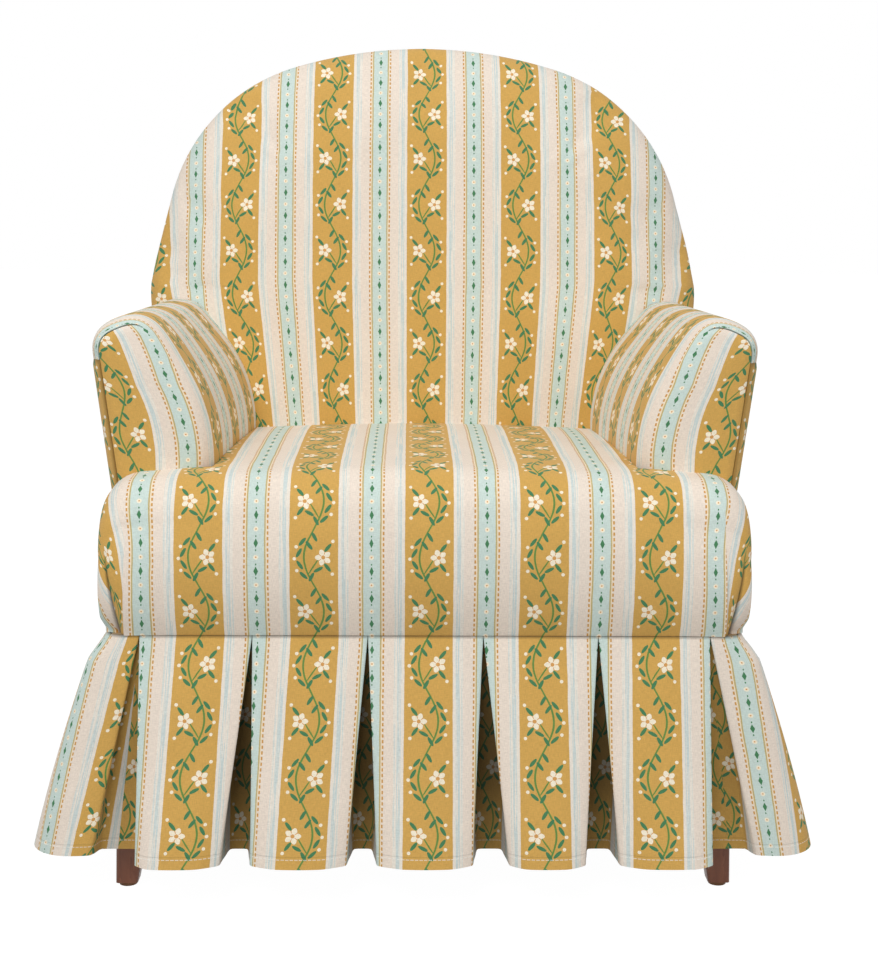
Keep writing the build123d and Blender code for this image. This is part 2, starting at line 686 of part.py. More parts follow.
# Tack strip round the rails, and the dust cover under them
strip = block(
    -FRAME_HALF - STRIP_T,
    FRAME_HALF + STRIP_T,
    FRAME_FRONT - STRIP_T,
    FRAME_REAR + STRIP_T,
    RAIL_TOP - STRIP_H,
    RAIL_TOP,
) - block(-FRAME_HALF, FRAME_HALF, FRAME_FRONT, FRAME_REAR, 0, REACH)
save("skirt_tack_strip", strip)
dust = block(-FRAME_HALF + 3, FRAME_HALF - 3, FRAME_FRONT + 3, FRAME_REAR - 3, RAIL_BOTTOM - 0.8, RAIL_BOTTOM)
for leg in both(list(legs.values())):
    box = leg.bounding_box()
    dust = dust - block(box.min.X - 1, box.max.X + 1, box.min.Y - 1, box.max.Y + 1, 0, RAIL_TOP)
save("dust_cover", dust)

# Skirt
SKIN = STRIP_T + 0.1 + SKIRT_T / 2 + 2 * SKIRT_LAYER
SEAM_SIDE, SEAM_FRONT, SEAM_REAR = FRAME_HALF + SKIN, FRAME_FRONT - SKIN, FRAME_REAR + SKIN
HEM_SIDE, HEM_FRONT, HEM_REAR = SEAM_SIDE + SIDE_FLARE, SEAM_FRONT - FRONT_FLARE, SEAM_REAR + REAR_FLARE
TOP_FOLD = (
    (PLEAT_FOLD, 2 * SKIRT_LAYER),
    (PLEAT_FOLD, SKIRT_LAYER),
    (0.9, SKIRT_LAYER),
    (0.9, 0.0),
)
HEM_FOLD = (
    (PLEAT_MOUTH - 9.0, PLEAT_DEPTH + 2.0),
    (PLEAT_MOUTH - 6.0, PLEAT_DEPTH),
    (PLEAT_MOUTH, 5.0),
    (PLEAT_MOUTH + 1.6, 2.5),
)
CORNER_FOLD = (
    (PLEAT_MOUTH - 9.0, PLEAT_DEPTH + 2.0 - CORNER_SETBACK),
    (PLEAT_MOUTH - 6.0, PLEAT_DEPTH - CORNER_SETBACK),
    *HEM_FOLD[2:],
)
SIDE_START_Y = FRAME_FRONT + 75.0
SIDE_PITCH = (FRAME_REAR - 60.0 - SIDE_START_Y) / 3
SIDE_TOP_Y = [SIDE_START_Y + SIDE_PITCH * k for k in range(4)]
SIDE_HEM_Y = [SIDE_START_Y - 13.0 + (SIDE_PITCH + 7.0) * k for k in range(4)]
END_TOP_X = INNER_X - 3.0
END_HEM_X = END_TOP_X + 26.0
TOP_CORNER = 10.0
HEM_CORNER = 48.0


def run_points(stations, ways, folds, bow, corner):
    """Path of one strip of skirt at one level, from its first pleat to its last."""
    path = []
    last = len(stations) - 1
    for k, ((x, y), (tx, ty), fold) in enumerate(zip(stations, ways, folds)):
        ox, oy = ty, -tx
        before = [(x - along * tx - deep * ox, y - along * ty - deep * oy) for along, deep in reversed(fold)]
        after = [(x + along * tx - deep * ox, y + along * ty - deep * oy) for along, deep in fold]
        floor = fold[0][1]
        path += before if k else []
        path.append((x - floor * ox, y - floor * oy))
        if k == last:
            return path
        path += after
        (nx, ny), (ux, uy) = stations[k + 1], ways[k + 1]
        if (ux, uy) == (tx, ty):
            for share in (0.3, 0.5, 0.7):
                lift = bow * (1 - (2 * share - 1) ** 2)
                path.append((x + share * (nx - x) + lift * ox, y + share * (ny - y) + lift * oy))
        else:
            vertex = (nx, y) if tx else (x, ny)
            hub = (vertex[0] + corner * (ux - tx), vertex[1] + corner * (uy - ty))
            for step in range(5):
                turn = radians(22.5 * step)
                path.append(
                    (
                        hub[0] + corner * (ox * cos(turn) + tx * sin(turn)),
                        hub[1] + corner * (oy * cos(turn) + ty * sin(turn)),
                    )
                )


def skirt_strip(top, hem, ways, hem_folds):
    """Thin pleated strip between the seam and the hem."""
    upper = ribbon(run_points(top, ways, [TOP_FOLD] * len(top), 0.0, TOP_CORNER), SKIRT_T)
    lower = ribbon(run_points(hem, ways, hem_folds, PANEL_BOW, HEM_CORNER), SKIRT_T)
    levels = ((upper, SKIRT_TOP), (lower, SKIRT_HEM))
    return Solid.make_loft([Wire.make_polygon([(*p, z) for p in path]) for path, z in levels], ruled=True)


def across(pitch, end, y, way):
    """Pleat positions along the front or the rear."""
    spots = [-end, *[pitch * k for k in (-1.5, -0.5, 0.5, 1.5)], end]
    return [(x * way, y) for x in spots]


SIDE_WAYS = [(1, 0), *[(0, 1)] * len(SIDE_TOP_Y), (-1, 0)]
for name, seam_y, hem_y, way in (("front", SEAM_FRONT, HEM_FRONT, 1), ("rear", SEAM_REAR, HEM_REAR, -1)):
    seam = across(SKIRT_PITCH, END_TOP_X, seam_y, way)
    edge = across(SKIRT_HEM_PITCH, END_HEM_X, hem_y, way)
    save(f"skirt_{name}", skirt_strip(seam, edge, [(way, 0)] * len(seam), [HEM_FOLD] * len(seam)))
side_seam = [(END_TOP_X, SEAM_FRONT), *[(SEAM_SIDE, y) for y in SIDE_TOP_Y], (END_TOP_X, SEAM_REAR)]
corner_front, corner_rear = HEM_FRONT + CORNER_SETBACK, HEM_REAR - CORNER_SETBACK
side_edge = [(END_HEM_X, corner_front), *[(HEM_SIDE, y) for y in SIDE_HEM_Y], (END_HEM_X, corner_rear)]
side_folds = [CORNER_FOLD, *[HEM_FOLD] * len(SIDE_HEM_Y), CORNER_FOLD]
save_pair("skirt", skirt_strip(side_seam, side_edge, SIDE_WAYS, side_folds))
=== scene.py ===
"""Skirted armchair in a striped print: padded seat, back and arms over a box pleated skirt."""

import logging
import math
from collections.abc import Iterator, Sequence
from contextlib import contextmanager
from dataclasses import dataclass, field
from enum import Enum
from functools import cache

import bpy
import numpy as np
from mathutils import Matrix


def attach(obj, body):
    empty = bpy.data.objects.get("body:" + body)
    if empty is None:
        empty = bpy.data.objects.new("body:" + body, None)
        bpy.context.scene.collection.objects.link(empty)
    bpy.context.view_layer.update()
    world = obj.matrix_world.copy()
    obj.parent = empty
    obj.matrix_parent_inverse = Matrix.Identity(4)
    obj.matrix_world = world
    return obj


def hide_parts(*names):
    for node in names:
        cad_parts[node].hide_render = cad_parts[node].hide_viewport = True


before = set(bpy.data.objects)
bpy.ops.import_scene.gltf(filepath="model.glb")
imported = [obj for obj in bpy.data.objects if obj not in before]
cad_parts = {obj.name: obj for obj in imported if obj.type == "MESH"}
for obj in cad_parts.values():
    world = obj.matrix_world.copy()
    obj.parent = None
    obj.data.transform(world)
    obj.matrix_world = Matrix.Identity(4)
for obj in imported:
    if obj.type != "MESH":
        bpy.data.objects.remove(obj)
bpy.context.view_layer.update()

LOG = logging.getLogger("skirted_armchair")
# Width of one repeat of the print, level where the covers meet the skirt, and gap below which points merge
REPEAT = 0.110
SEAM_LEVEL = 0.2703
MERGE_GAP = 0.00002

Array = np.ndarray
Piece = bpy.types.Object
Material = bpy.types.Material
Pair = tuple[float, float]
Pairs = tuple[Pair, ...]
Triple = tuple[float, float, float]
Colour = tuple[float, float, float, float]
Socket = bpy.types.NodeSocket
Value = float | Socket
Sockets = bpy.types.bpy_prop_collection
Scale = Triple | Socket


class Side(Enum):
    """Which hand of the chair a piece is on, as the sign of its X."""

    LEFT = -1
    RIGHT = 1


class Run(Enum):
    """The four strips of the skirt."""

    FRONT = "front"
    REAR = "rear"
    LEFT = "left"
    RIGHT = "right"


def ink(red: int, green: int, blue: int) -> Colour:
    """Scene colour from a display colour of 0 to 255.

    Args:
        red: red level.
        green: green level.
        blue: blue level.

    Returns:
        Linear colour with an alpha of 1.
    """

    def lift(level: int) -> float:
        """One channel, made linear."""
        share = level / 255
        return share / 12.92 if share <= 0.04045 else ((share + 0.055) / 1.055) ** 2.4

    return lift(red), lift(green), lift(blue), 1.0


def ease(share: Array | float) -> Array | float:
    """Smooth step from 0 to 1."""
    held = np.clip(share, 0.0, 1.0)
    return held * held * (3 - 2 * held)


# Shader wiring


class Graph:
    """Short calls for wiring one shader node tree."""

    def __init__(self, tree: bpy.types.NodeTree) -> None:
        """Keep the tree that the calls add to."""
        self.tree = tree

    def add(self, kind: str, **settings: object) -> bpy.types.Node:
        """New node with its settings.

        Args:
            kind: Blender's type of node.
            settings: properties to set on it.

        Returns:
            The node.
        """
        node = self.tree.nodes.new(kind)
        for key, value in settings.items():
            setattr(node, key, value)
        return node

    def feed(self, socket: Socket, value: object) -> None:
        """Link a socket to an output, or set its constant.

        Args:
            socket: input to fill.
            value: output to link, or a constant.
        """
        if isinstance(value, Socket):
            self.tree.links.new(value, socket)
        else:
            socket.default_value = value

    def math(self, operation: str, *values: Value) -> Socket:
        """Math node.

        Args:
            operation: Blender's name for it.
            values: one to three sockets or numbers.

        Returns:
            The result's socket.
        """
        node = self.add("ShaderNodeMath", operation=operation)
        for socket, value in zip(node.inputs, values):
            self.feed(socket, value)
        return node.outputs[0]

    def above(self, value: Value, level: Value) -> Socket:
        """Mask of 1 where a value passes a level."""
        return self.math("GREATER_THAN", value, level)

    def band(self, value: Value, low: float, high: float) -> Socket:
        """Mask of 1 between two levels."""
        return self.math("MULTIPLY", self.above(value, low), self.math("LESS_THAN", value, high))

    def paint(self, mask: Value, under: object, over: object) -> Socket:
        """Lay one colour over another where a mask is set.

        Args:
            mask: where the upper colour shows.
            under: colour below.
            over: colour on top.

        Returns:
            The mixed colour.
        """
        node = self.add("ShaderNodeMix", data_type="RGBA")
        self.feed(node.inputs[0], mask)
        self.feed(node.inputs[6], under)
        self.feed(node.inputs[7], over)
        return node.outputs[2]

    def scaled(self, vector: Socket, scale: Scale) -> Socket:
        """Coordinates multiplied along each axis.

        Args:
            vector: coordinates.
            scale: factor along each axis.

        Returns:
            The multiplied coordinates.
        """
        node = self.add("ShaderNodeVectorMath", operation="MULTIPLY")
        self.feed(node.inputs[0], vector)
        self.feed(node.inputs[1], scale)
        return node.outputs[0]

    def noise(self, vector: Socket, scale: Scale, detail: float = 2.0) -> Socket:
        """Noise of about 0 to 1 on stretched coordinates.

        Args:
            vector: coordinates.
            scale: how often it varies along each axis.
            detail: octaves of finer noise.

        Returns:
            The noise value.
        """
        node = self.add("ShaderNodeTexNoise")
        self.feed(node.inputs["Vector"], self.scaled(vector, scale))
        self.feed(node.inputs["Scale"], 1.0)
        self.feed(node.inputs["Detail"], detail)
        return node.outputs[0]

    def pair(self, first: Value, second: Value) -> Socket:
        """Two values as a flat vector.

        Args:
            first: X.
            second: Y.

        Returns:
            The vector.
        """
        node = self.add("ShaderNodeCombineXYZ")
        self.feed(node.inputs[0], first)
        self.feed(node.inputs[1], second)
        return node.outputs[0]

    def placed(self, vector: Socket, spot: Pair, turn: float, size: Pair) -> Socket:
        """Coordinates of a small mark: moved to its spot, turned, and 1 long at its edge.

        Args:
            vector: coordinates of the print.
            spot: the mark's centre.
            turn: its turn in degrees.
            size: its half sizes.

        Returns:
            Coordinates on the mark.
        """
        node = self.add("ShaderNodeMapping", vector_type="TEXTURE")
        self.feed(node.inputs["Vector"], vector)
        node.inputs["Location"].default_value = (*spot, 0.0)
        node.inputs["Rotation"].default_value = (0.0, 0.0, math.radians(turn))
        node.inputs["Scale"].default_value = (*size, 1.0)
        return node.outputs[0]

    def length(self, vector: Socket) -> Socket:
        """Distance from a mark's centre.

        Args:
            vector: coordinates on the mark.

        Returns:
            The distance.
        """
        node = self.add("ShaderNodeVectorMath", operation="LENGTH")
        self.feed(node.inputs[0], vector)
        return node.outputs["Value"]

    def oval(self, vector: Socket, spot: Pair, turn: float, size: Pair) -> Socket:
        """Mask of one oval mark."""
        return self.math("LESS_THAN", self.length(self.placed(vector, spot, turn, size)), 1.0)

    def any_of(self, masks: Sequence[Socket]) -> Socket:
        """Mask that is set where any of several is.

        Args:
            masks: one mask or more.

        Returns:
            The joint mask.
        """
        total = masks[0]
        for mask in masks[1:]:
            total = self.math("MAXIMUM", total, mask)
        return total

    def split(self, vector: Socket) -> Sockets:
        """Take a vector apart.

        Args:
            vector: coordinates.

        Returns:
            Outputs for X, Y and Z.
        """
        node = self.add("ShaderNodeSeparateXYZ")
        self.feed(node.inputs[0], vector)
        return node.outputs

    def dimmed(self, colour: Socket, level: Value) -> Socket:
        """Make a colour darker or lighter.

        Args:
            colour: colour as it is.
            level: what it is multiplied by.

        Returns:
            The new colour.
        """
        node = self.add("ShaderNodeVectorMath", operation="SCALE")
        self.feed(node.inputs[0], colour)
        self.feed(node.inputs["Scale"], level)
        return node.outputs[0]

    def relief(self, shader: bpy.types.Node, height: Value, strength: float, distance: float) -> None:
        """Raise a shader's surface with a Bump node.

        Args:
            shader: shader whose normal is bent.
            height: relief from 0 to 1.
            strength: share of the relief that shows.
            distance: depth of the full relief.
        """
        node = self.add("ShaderNodeBump")
        self.feed(node.inputs["Strength"], strength)
        self.feed(node.inputs["Distance"], distance)
        self.feed(node.inputs["Height"], height)
        self.feed(shader.inputs["Normal"], node.outputs[0])

    def use(self, tree: bpy.types.NodeTree, **values: object) -> Sockets:
        """Place a shared group.

        Args:
            tree: the group.
            values: what feeds its inputs, by their names.

        Returns:
            The group's outputs.
        """
        node = self.add("ShaderNodeGroup", node_tree=tree)
        for key, value in values.items():
            self.feed(node.inputs[key], value)
        return node.outputs


def new_group(name: str, inputs: dict[str, str], outputs: dict[str, str]) -> tuple[Graph, Sockets, Sockets]:
    """Start a shared group.

    Args:
        name: the group's name.
        inputs: type of each input, by its name.
        outputs: type of each output, by its name.

    Returns:
        Graph of the group, the sockets that it reads from, and those that it ends in.
    """
    tree = bpy.data.node_groups.new(name, "ShaderNodeTree")
    for way, sockets in (("INPUT", inputs), ("OUTPUT", outputs)):
        for key, kind in sockets.items():
            tree.interface.new_socket(key, in_out=way, socket_type=f"NodeSocket{kind}")
    g = Graph(tree)
    return g, g.add("NodeGroupInput").outputs, g.add("NodeGroupOutput").inputs


def new_material(name: str) -> tuple[Material, Graph, bpy.types.Node]:
    """Start a material.

    Args:
        name: the material's name.

    Returns:
        The material, its graph and its shader.
    """
    made = bpy.data.materials.new(name)
    made.use_nodes = True
    return made, Graph(made.node_tree), made.node_tree.nodes["Principled BSDF"]


# Finishes


@cache
def wood_grain() -> bpy.types.NodeTree:
    """Growth rings and pores that all the woods share.

    Returns:
        Group that turns coordinates and their stretch into a figure and fine pores.
    """
    sockets = {"Spot": "Vector", "Stretch": "Vector"}
    g, source, end = new_group("wood_grain", sockets, {"Figure": "Float", "Pores": "Float"})
    broad = g.noise(source["Spot"], source["Stretch"], 4.0)
    fine = g.noise(source["Spot"], g.scaled(source["Stretch"], (7.0, 7.0, 7.0)), 3.0)
    rings = g.math("FRACT", g.math("MULTIPLY", broad, 6.0))
    g.feed(end["Figure"], g.math("MULTIPLY_ADD", rings, 0.45, g.math("MULTIPLY", fine, 0.55)))
    g.feed(end["Pores"], fine)
    return g.tree


@cache
def crossed_weave() -> bpy.types.NodeTree:
    """Crossing threads under some fuzz, which webbing, felt and cambric share.

    Returns:
        Group that turns coordinates, and the pace of the threads, into a tone.
    """
    g, source, end = new_group("crossed_weave", {"Spot": "Vector", "Pace": "Float"}, {"Tone": "Float"})
    x, y, z = g.split(source["Spot"])
    warp = g.math("SINE", g.math("MULTIPLY", x, source["Pace"]))
    weft = g.math("SINE", g.math("MULTIPLY", g.math("ADD", y, z), source["Pace"]))
    weave = g.math("MULTIPLY_ADD", g.math("MULTIPLY", warp, weft), 0.5, 0.5)
    fuzz = g.noise(source["Spot"], (220.0, 220.0, 220.0), 3.0)
    g.feed(end["Tone"], g.math("MULTIPLY_ADD", weave, 0.5, g.math("MULTIPLY", fuzz, 0.5)))
    return g.tree


@cache
def plating_cloud() -> bpy.types.NodeTree:
    """Cloudy tone that plated metals share.

    Returns:
        Group that turns coordinates into a mask.
    """
    g, source, end = new_group("plating_cloud", {"Spot": "Vector"}, {"Cloud": "Float"})
    g.feed(end["Cloud"], g.noise(source["Spot"], (160.0, 160.0, 160.0), 3.0))
    return g.tree


@dataclass(frozen=True)
class StripePrint:
    """Wide gold stripe with a garland, pale ground with dashes, and a bead row on pale blue."""

    gold: Colour = ink(213, 168, 88)
    white: Colour = ink(238, 230, 217)
    streak: Colour = ink(200, 215, 214)
    blush: Colour = ink(238, 224, 209)
    cream: Colour = ink(244, 226, 196)
    rule: Colour = ink(196, 176, 120)
    dash: Colour = ink(206, 154, 82)
    sky: Colour = ink(206, 222, 215)
    stem: Colour = ink(104, 142, 72)
    leaf: Colour = ink(72, 130, 88)
    petal: Colour = ink(250, 239, 214)
    heart: Colour = ink(217, 160, 92)
    cell: float = 0.49
    swing: float = 0.085
    stem_half: float = 0.0085
    stalk_spot: Pair = (0.005, -0.083)
    stalk_turn: float = 33.0
    stalk_size: Pair = (0.007, 0.082)
    leaf_size: Pair = (0.0155, 0.045)
    leaves: tuple[Triple, ...] = (
        (0.122, -0.066, -34.0),
        (0.128, 0.040, 30.0),
        (0.090, -0.158, -48.0),
        (0.098, 0.136, 40.0),
        (0.020, -0.172, 30.0),
        (0.040, 0.105, -36.0),
        (-0.006, 0.178, -30.0),
        (-0.118, -0.088, -38.0),
        (-0.122, 0.084, 40.0),
        (-0.040, -0.106, 62.0),
    )
    bud_size: Pair = (0.0150, 0.0150)
    buds: Pairs = ((0.168, -0.012), (0.150, 0.092), (0.148, -0.116), (-0.165, 0.140), (-0.160, -0.146))
    rosette_spot: Pair = (-0.082, 0.0)
    rosette_size: Pair = (0.072, 0.072)
    petals: float = 5.0
    notch: float = 0.17
    crease: float = -0.90
    crease_reach: Pair = (0.30, 0.70)
    heart_size: float = 0.24
    bead_pitch: float = 0.245
    lozenge_size: Pair = (0.019, 0.042)
    tip_reach: float = 0.060
    tip_size: Pair = (0.0055, 0.009)
    dot_size: Pair = (0.021, 0.021)
    dot_heart: Pair = (0.007, 0.007)
    gold_edge: float = 0.211
    broad_streak: Pair = (0.238, 0.274)
    thin_streak: Pair = (0.286, 0.302)
    streak_cuts: Pair = (0.44, 0.52)
    thin_share: float = 0.7
    streak_share: float = 0.85
    blush_edge: float = 0.302
    dash_line: Pair = (0.3900, 0.4045)
    dash_pitch: float = 0.049
    dash_share: float = 0.60
    rule_edge: float = 0.4150
    sky_edge: float = 0.4275

    def group(self) -> bpy.types.NodeTree:
        """Build the print as a shared group.

        Returns:
            Group that turns print coordinates, in repeats, into a colour and a thread height.
        """
        g, source, end = new_group("stripe_print", {"Print": "Vector"}, {"Colour": "Color", "Height": "Float"})
        spot = source["Print"]
        first, v, _ = g.split(spot)
        wander = g.math("MULTIPLY_ADD", g.noise(spot, (9.0, 4.0, 1.0)), 0.012, -0.006)
        u = g.math("ADD", first, wander)
        across = g.math("SUBTRACT", u, g.math("ROUND", u))
        colour = self.ground(g, spot, across, v)
        colour = self.garland(g, colour, across, v)
        colour = self.beads(g, colour, u, v)
        weft = g.noise(spot, (22.0, 190.0, 1.0), 1.0)
        warp = g.noise(spot, (190.0, 22.0, 1.0), 1.0)
        thread = g.math("SUBTRACT", g.math("ADD", weft, warp), 1.0)
        tone = g.math("MULTIPLY_ADD", thread, 0.34, 1.0)
        cloud = g.math("MULTIPLY_ADD", g.noise(spot, (2.3, 1.7, 1.0)), 0.10, 0.95)
        g.feed(end["Colour"], g.dimmed(colour, g.math("MULTIPLY", tone, cloud)))
        g.feed(end["Height"], thread)
        return g.tree

    def ground(self, g: Graph, spot: Socket, across: Value, along: Value) -> Socket:
        """Stripes, streaks and dashed lines.

        Args:
            g: graph of the group.
            spot: print coordinates.
            across: distance from the nearest gold stripe's middle.
            along: distance down the cloth.

        Returns:
            Colour of the cloth.
        """
        off = g.math("ABSOLUTE", across)
        colour = g.paint(g.above(off, self.gold_edge), self.gold, self.white)
        colour = g.paint(g.above(off, self.blush_edge), colour, self.blush)
        brush = g.noise(spot, (115.0, 1.8, 1.0), 1.0)
        broad = g.math("MULTIPLY", g.above(brush, self.streak_cuts[0]), g.band(off, *self.broad_streak))
        thin = g.math("MULTIPLY", g.above(brush, self.streak_cuts[1]), g.band(off, *self.thin_streak))
        lines = g.math("MAXIMUM", broad, g.math("MULTIPLY", thin, self.thin_share))
        colour = g.paint(g.math("MULTIPLY", lines, self.streak_share), colour, self.streak)
        step = g.math("FRACT", g.math("DIVIDE", along, self.dash_pitch))
        dashes = g.math("MULTIPLY", g.band(off, *self.dash_line), g.math("LESS_THAN", step, self.dash_share))
        colour = g.paint(dashes, colour, self.dash)
        colour = g.paint(g.above(off, self.dash_line[1]), colour, self.cream)
        colour = g.paint(g.above(off, self.rule_edge), colour, self.rule)
        return g.paint(g.above(off, self.sky_edge), colour, self.sky)

    def garland(self, g: Graph, colour: Socket, across: Value, along: Value) -> Socket:
        """Winding stem with leaves, and a rosette in each bend.

        Args:
            g: graph of the group.
            colour: colour so far.
            across: distance from the nearest gold stripe's middle.
            along: distance down the cloth.

        Returns:
            Colour with the garland on it.
        """
        count = g.math("DIVIDE", along, self.cell)
        share = g.math("FRACT", count)
        odd = g.math("FRACT", g.math("MULTIPLY", g.math("FLOOR", count), 0.5))
        flip = g.math("MULTIPLY_ADD", odd, -4.0, 1.0)
        a = g.math("MULTIPLY", across, flip)
        q = g.math("MULTIPLY_ADD", share, self.cell, -self.cell / 2)
        local = g.pair(a, q)
        wave = g.math("MULTIPLY", g.math("SINE", g.math("MULTIPLY", share, math.pi)), self.swing)
        stem = g.math("LESS_THAN", g.math("ABSOLUTE", g.math("SUBTRACT", a, wave)), self.stem_half)
        stalk = g.oval(local, self.stalk_spot, self.stalk_turn, self.stalk_size)
        colour = g.paint(g.any_of([stem, stalk]), colour, self.stem)
        masks = [g.oval(local, (x, y), turn, self.leaf_size) for x, y, turn in self.leaves]
        colour = g.paint(g.any_of(masks), colour, self.leaf)
        masks = [g.oval(local, spot, 0.0, self.bud_size) for spot in self.buds]
        colour = g.paint(g.any_of(masks), colour, self.petal)
        disc = g.placed(local, self.rosette_spot, 0.0, self.rosette_size)
        reach = g.length(disc)
        sideways, upright, _ = g.split(disc)
        turn = g.math("ARCTAN2", upright, sideways)
        lobe = g.math("COSINE", g.math("MULTIPLY", turn, self.petals))
        edge = g.math("MULTIPLY_ADD", lobe, self.notch, 1 - self.notch)
        colour = g.paint(g.math("LESS_THAN", reach, edge), colour, self.petal)
        fold = g.math("MULTIPLY", g.math("LESS_THAN", lobe, self.crease), g.band(reach, *self.crease_reach))
        colour = g.paint(fold, colour, self.heart)
        return g.paint(g.math("LESS_THAN", reach, self.heart_size), colour, self.heart)

    def beads(self, g: Graph, colour: Socket, u: Value, along: Value) -> Socket:
        """Row of lozenges and dots down the blue stripe.

        Args:
            g: graph of the group.
            colour: colour so far.
            u: print coordinate across the cloth.
            along: distance down the cloth.

        Returns:
            Colour with the beads on it.
        """
        middle = g.math("SUBTRACT", g.math("FRACT", u), 0.5)
        cells = []
        for shift in (0.0, 0.5):
            count = g.math("ADD", g.math("DIVIDE", along, self.bead_pitch), shift)
            q = g.math("MULTIPLY_ADD", g.math("FRACT", count), self.bead_pitch, -self.bead_pitch / 2)
            cells.append(g.pair(middle, q))
        lozenges, dots = cells
        centre = (0.0, 0.0)
        size = g.add("ShaderNodeVectorMath", operation="ABSOLUTE")
        g.feed(size.inputs[0], g.placed(lozenges, centre, 0.0, self.lozenge_size))
        total = g.add("ShaderNodeVectorMath", operation="DOT_PRODUCT")
        g.feed(total.inputs[0], size.outputs[0])
        g.feed(total.inputs[1], (1.0, 1.0, 0.0))
        colour = g.paint(g.math("LESS_THAN", total.outputs["Value"], 1.0), colour, self.leaf)
        tips = [g.oval(lozenges, (0.0, end * self.tip_reach), 0.0, self.tip_size) for end in (-1, 1)]
        colour = g.paint(g.any_of(tips), colour, self.leaf)
        colour = g.paint(g.oval(dots, centre, 0.0, self.dot_size), colour, self.petal)
        return g.paint(g.oval(dots, centre, 0.0, self.dot_heart), colour, self.heart)


@dataclass(frozen=True)
class PrintedCotton:
    """Cover cloth: the stripe print on a slubby weave, with a stitched hem, painted shadow lines at seams and
    painted shade inside the pleats.
    """

    name: str = "printed_cotton"
    roughness: float = 0.82
    sheen: float = 0.12
    stitch: Colour = ink(250, 247, 240)
    stitch_pitch: float = 0.0042
    stitch_share: float = 0.74
    stitch_show: float = 0.60
    stitch_rise: float = 1.2
    stitch_line: Pair = (0.0088, 0.0096)
    turning: Pair = (0.0112, 0.0122)
    turning_shade: float = 0.16
    seam_shade: float = 0.72
    pleat_shade: float = 0.80

    def material(self) -> Material:
        """Build the material.

        Returns:
            Material that reads the print coordinates, the hem mark, and the seam and tuck marks of its piece; the
            seam and tuck marks hold painted shade.
        """
        made, g, shader = new_material(self.name)
        spot = g.add("ShaderNodeUVMap", uv_map="print").outputs[0]
        cloth = g.use(StripePrint().group(), Print=spot)
        # The seam and tuck marks hold painted shade: seam for shadow lines at seams and gaps, tuck for shade
        # inside the skirt's pleat recesses.
        hem, seam, tuck = (
            g.add("ShaderNodeAttribute", attribute_name=name).outputs["Fac"] for name in ("hem", "seam", "tuck")
        )
        pace = g.math("FRACT", g.math("MULTIPLY", g.split(spot)[0], REPEAT / self.stitch_pitch))
        stitch = g.math("MULTIPLY", g.band(hem, *self.stitch_line), g.math("LESS_THAN", pace, self.stitch_share))
        turned = g.band(hem, *self.turning)
        colour = g.paint(g.math("MULTIPLY", stitch, self.stitch_show), cloth["Colour"], self.stitch)
        dim = g.math("SUBTRACT", 1.0, g.math("MULTIPLY", turned, self.turning_shade))
        # Painted shade: darker along seams and inside the pleat recesses.
        dim = g.math("MULTIPLY", dim, g.math("MULTIPLY_ADD", seam, -self.seam_shade, 1.0))
        dim = g.math("MULTIPLY", dim, g.math("MULTIPLY_ADD", tuck, -self.pleat_shade, 1.0))
        g.feed(shader.inputs["Base Color"], g.dimmed(colour, dim))
        height = g.math("MULTIPLY_ADD", stitch, self.stitch_rise, cloth["Height"])
        g.relief(shader, height, strength=0.35, distance=0.0006)
        shader.inputs["Roughness"].default_value = self.roughness
        shader.inputs["Sheen Weight"].default_value = self.sheen
        shader.inputs["Specular IOR Level"].default_value = 0.25
        return made


@dataclass(frozen=True)
class Timber:
    """Wood with grain along one axis, growth rings and pores."""

    name: str
    pale: Colour
    dark: Colour
    grain: Triple
    roughness: float

    def material(self) -> Material:
        """Material with streaked colour, varied gloss and fine pores.

        Returns:
            The wood's material.
        """
        made, g, shader = new_material(self.name)
        spot = g.add("ShaderNodeTexCoord").outputs["Object"]
        grain = g.use(wood_grain(), Spot=spot, Stretch=self.grain)
        g.feed(shader.inputs["Base Color"], g.paint(grain["Figure"], self.pale, self.dark))
        g.feed(shader.inputs["Roughness"], g.math("MULTIPLY_ADD", grain["Pores"], 0.2, self.roughness - 0.1))
        g.relief(shader, grain["Pores"], strength=0.25, distance=0.0006)
        return made


@dataclass(frozen=True)
class Woven:
    """Plain weave or felt of one tone, for webbing, felt and cambric."""

    name: str
    pale: Colour
    dark: Colour
    thread: float
    roughness: float = 0.9

    def material(self) -> Material:
        """Material with crossing threads and a fuzzy tone.

        Returns:
            The cloth's material.
        """
        made, g, shader = new_material(self.name)
        spot = g.add("ShaderNodeTexCoord").outputs["Object"]
        tone = g.use(crossed_weave(), Spot=spot, Pace=math.tau / self.thread)["Tone"]
        g.feed(shader.inputs["Base Color"], g.paint(tone, self.dark, self.pale))
        g.relief(shader, tone, strength=0.4, distance=self.thread * 0.3)
        shader.inputs["Roughness"].default_value = self.roughness
        return made


@dataclass(frozen=True)
class PlatedSteel:
    """Plated steel with a slightly cloudy surface."""

    name: str = "zinc_steel"
    bright: Colour = ink(204, 205, 203)
    dull: Colour = ink(150, 151, 150)

    def material(self) -> Material:
        """Metal with spangled tone and roughness.

        Returns:
            The metal's material.
        """
        made, g, shader = new_material(self.name)
        spot = g.add("ShaderNodeTexCoord").outputs["Object"]
        cloud = g.use(plating_cloud(), Spot=spot)["Cloud"]
        g.feed(shader.inputs["Base Color"], g.paint(cloud, self.dull, self.bright))
        g.feed(shader.inputs["Roughness"], g.math("MULTIPLY_ADD", cloud, 0.25, 0.25))
        shader.inputs["Metallic"].default_value = 1.0
        return made


# Mesh making


@contextmanager
def edit_mode(piece: Piece) -> Iterator[None]:
    """Open a piece in edit mode, and close it again.

    Args:
        piece: mesh object.

    Returns:
        Context in which the piece is open.
    """
    bpy.context.view_layer.objects.active = piece
    bpy.ops.object.mode_set(mode="EDIT")
    yield
    bpy.ops.object.mode_set(mode="OBJECT")


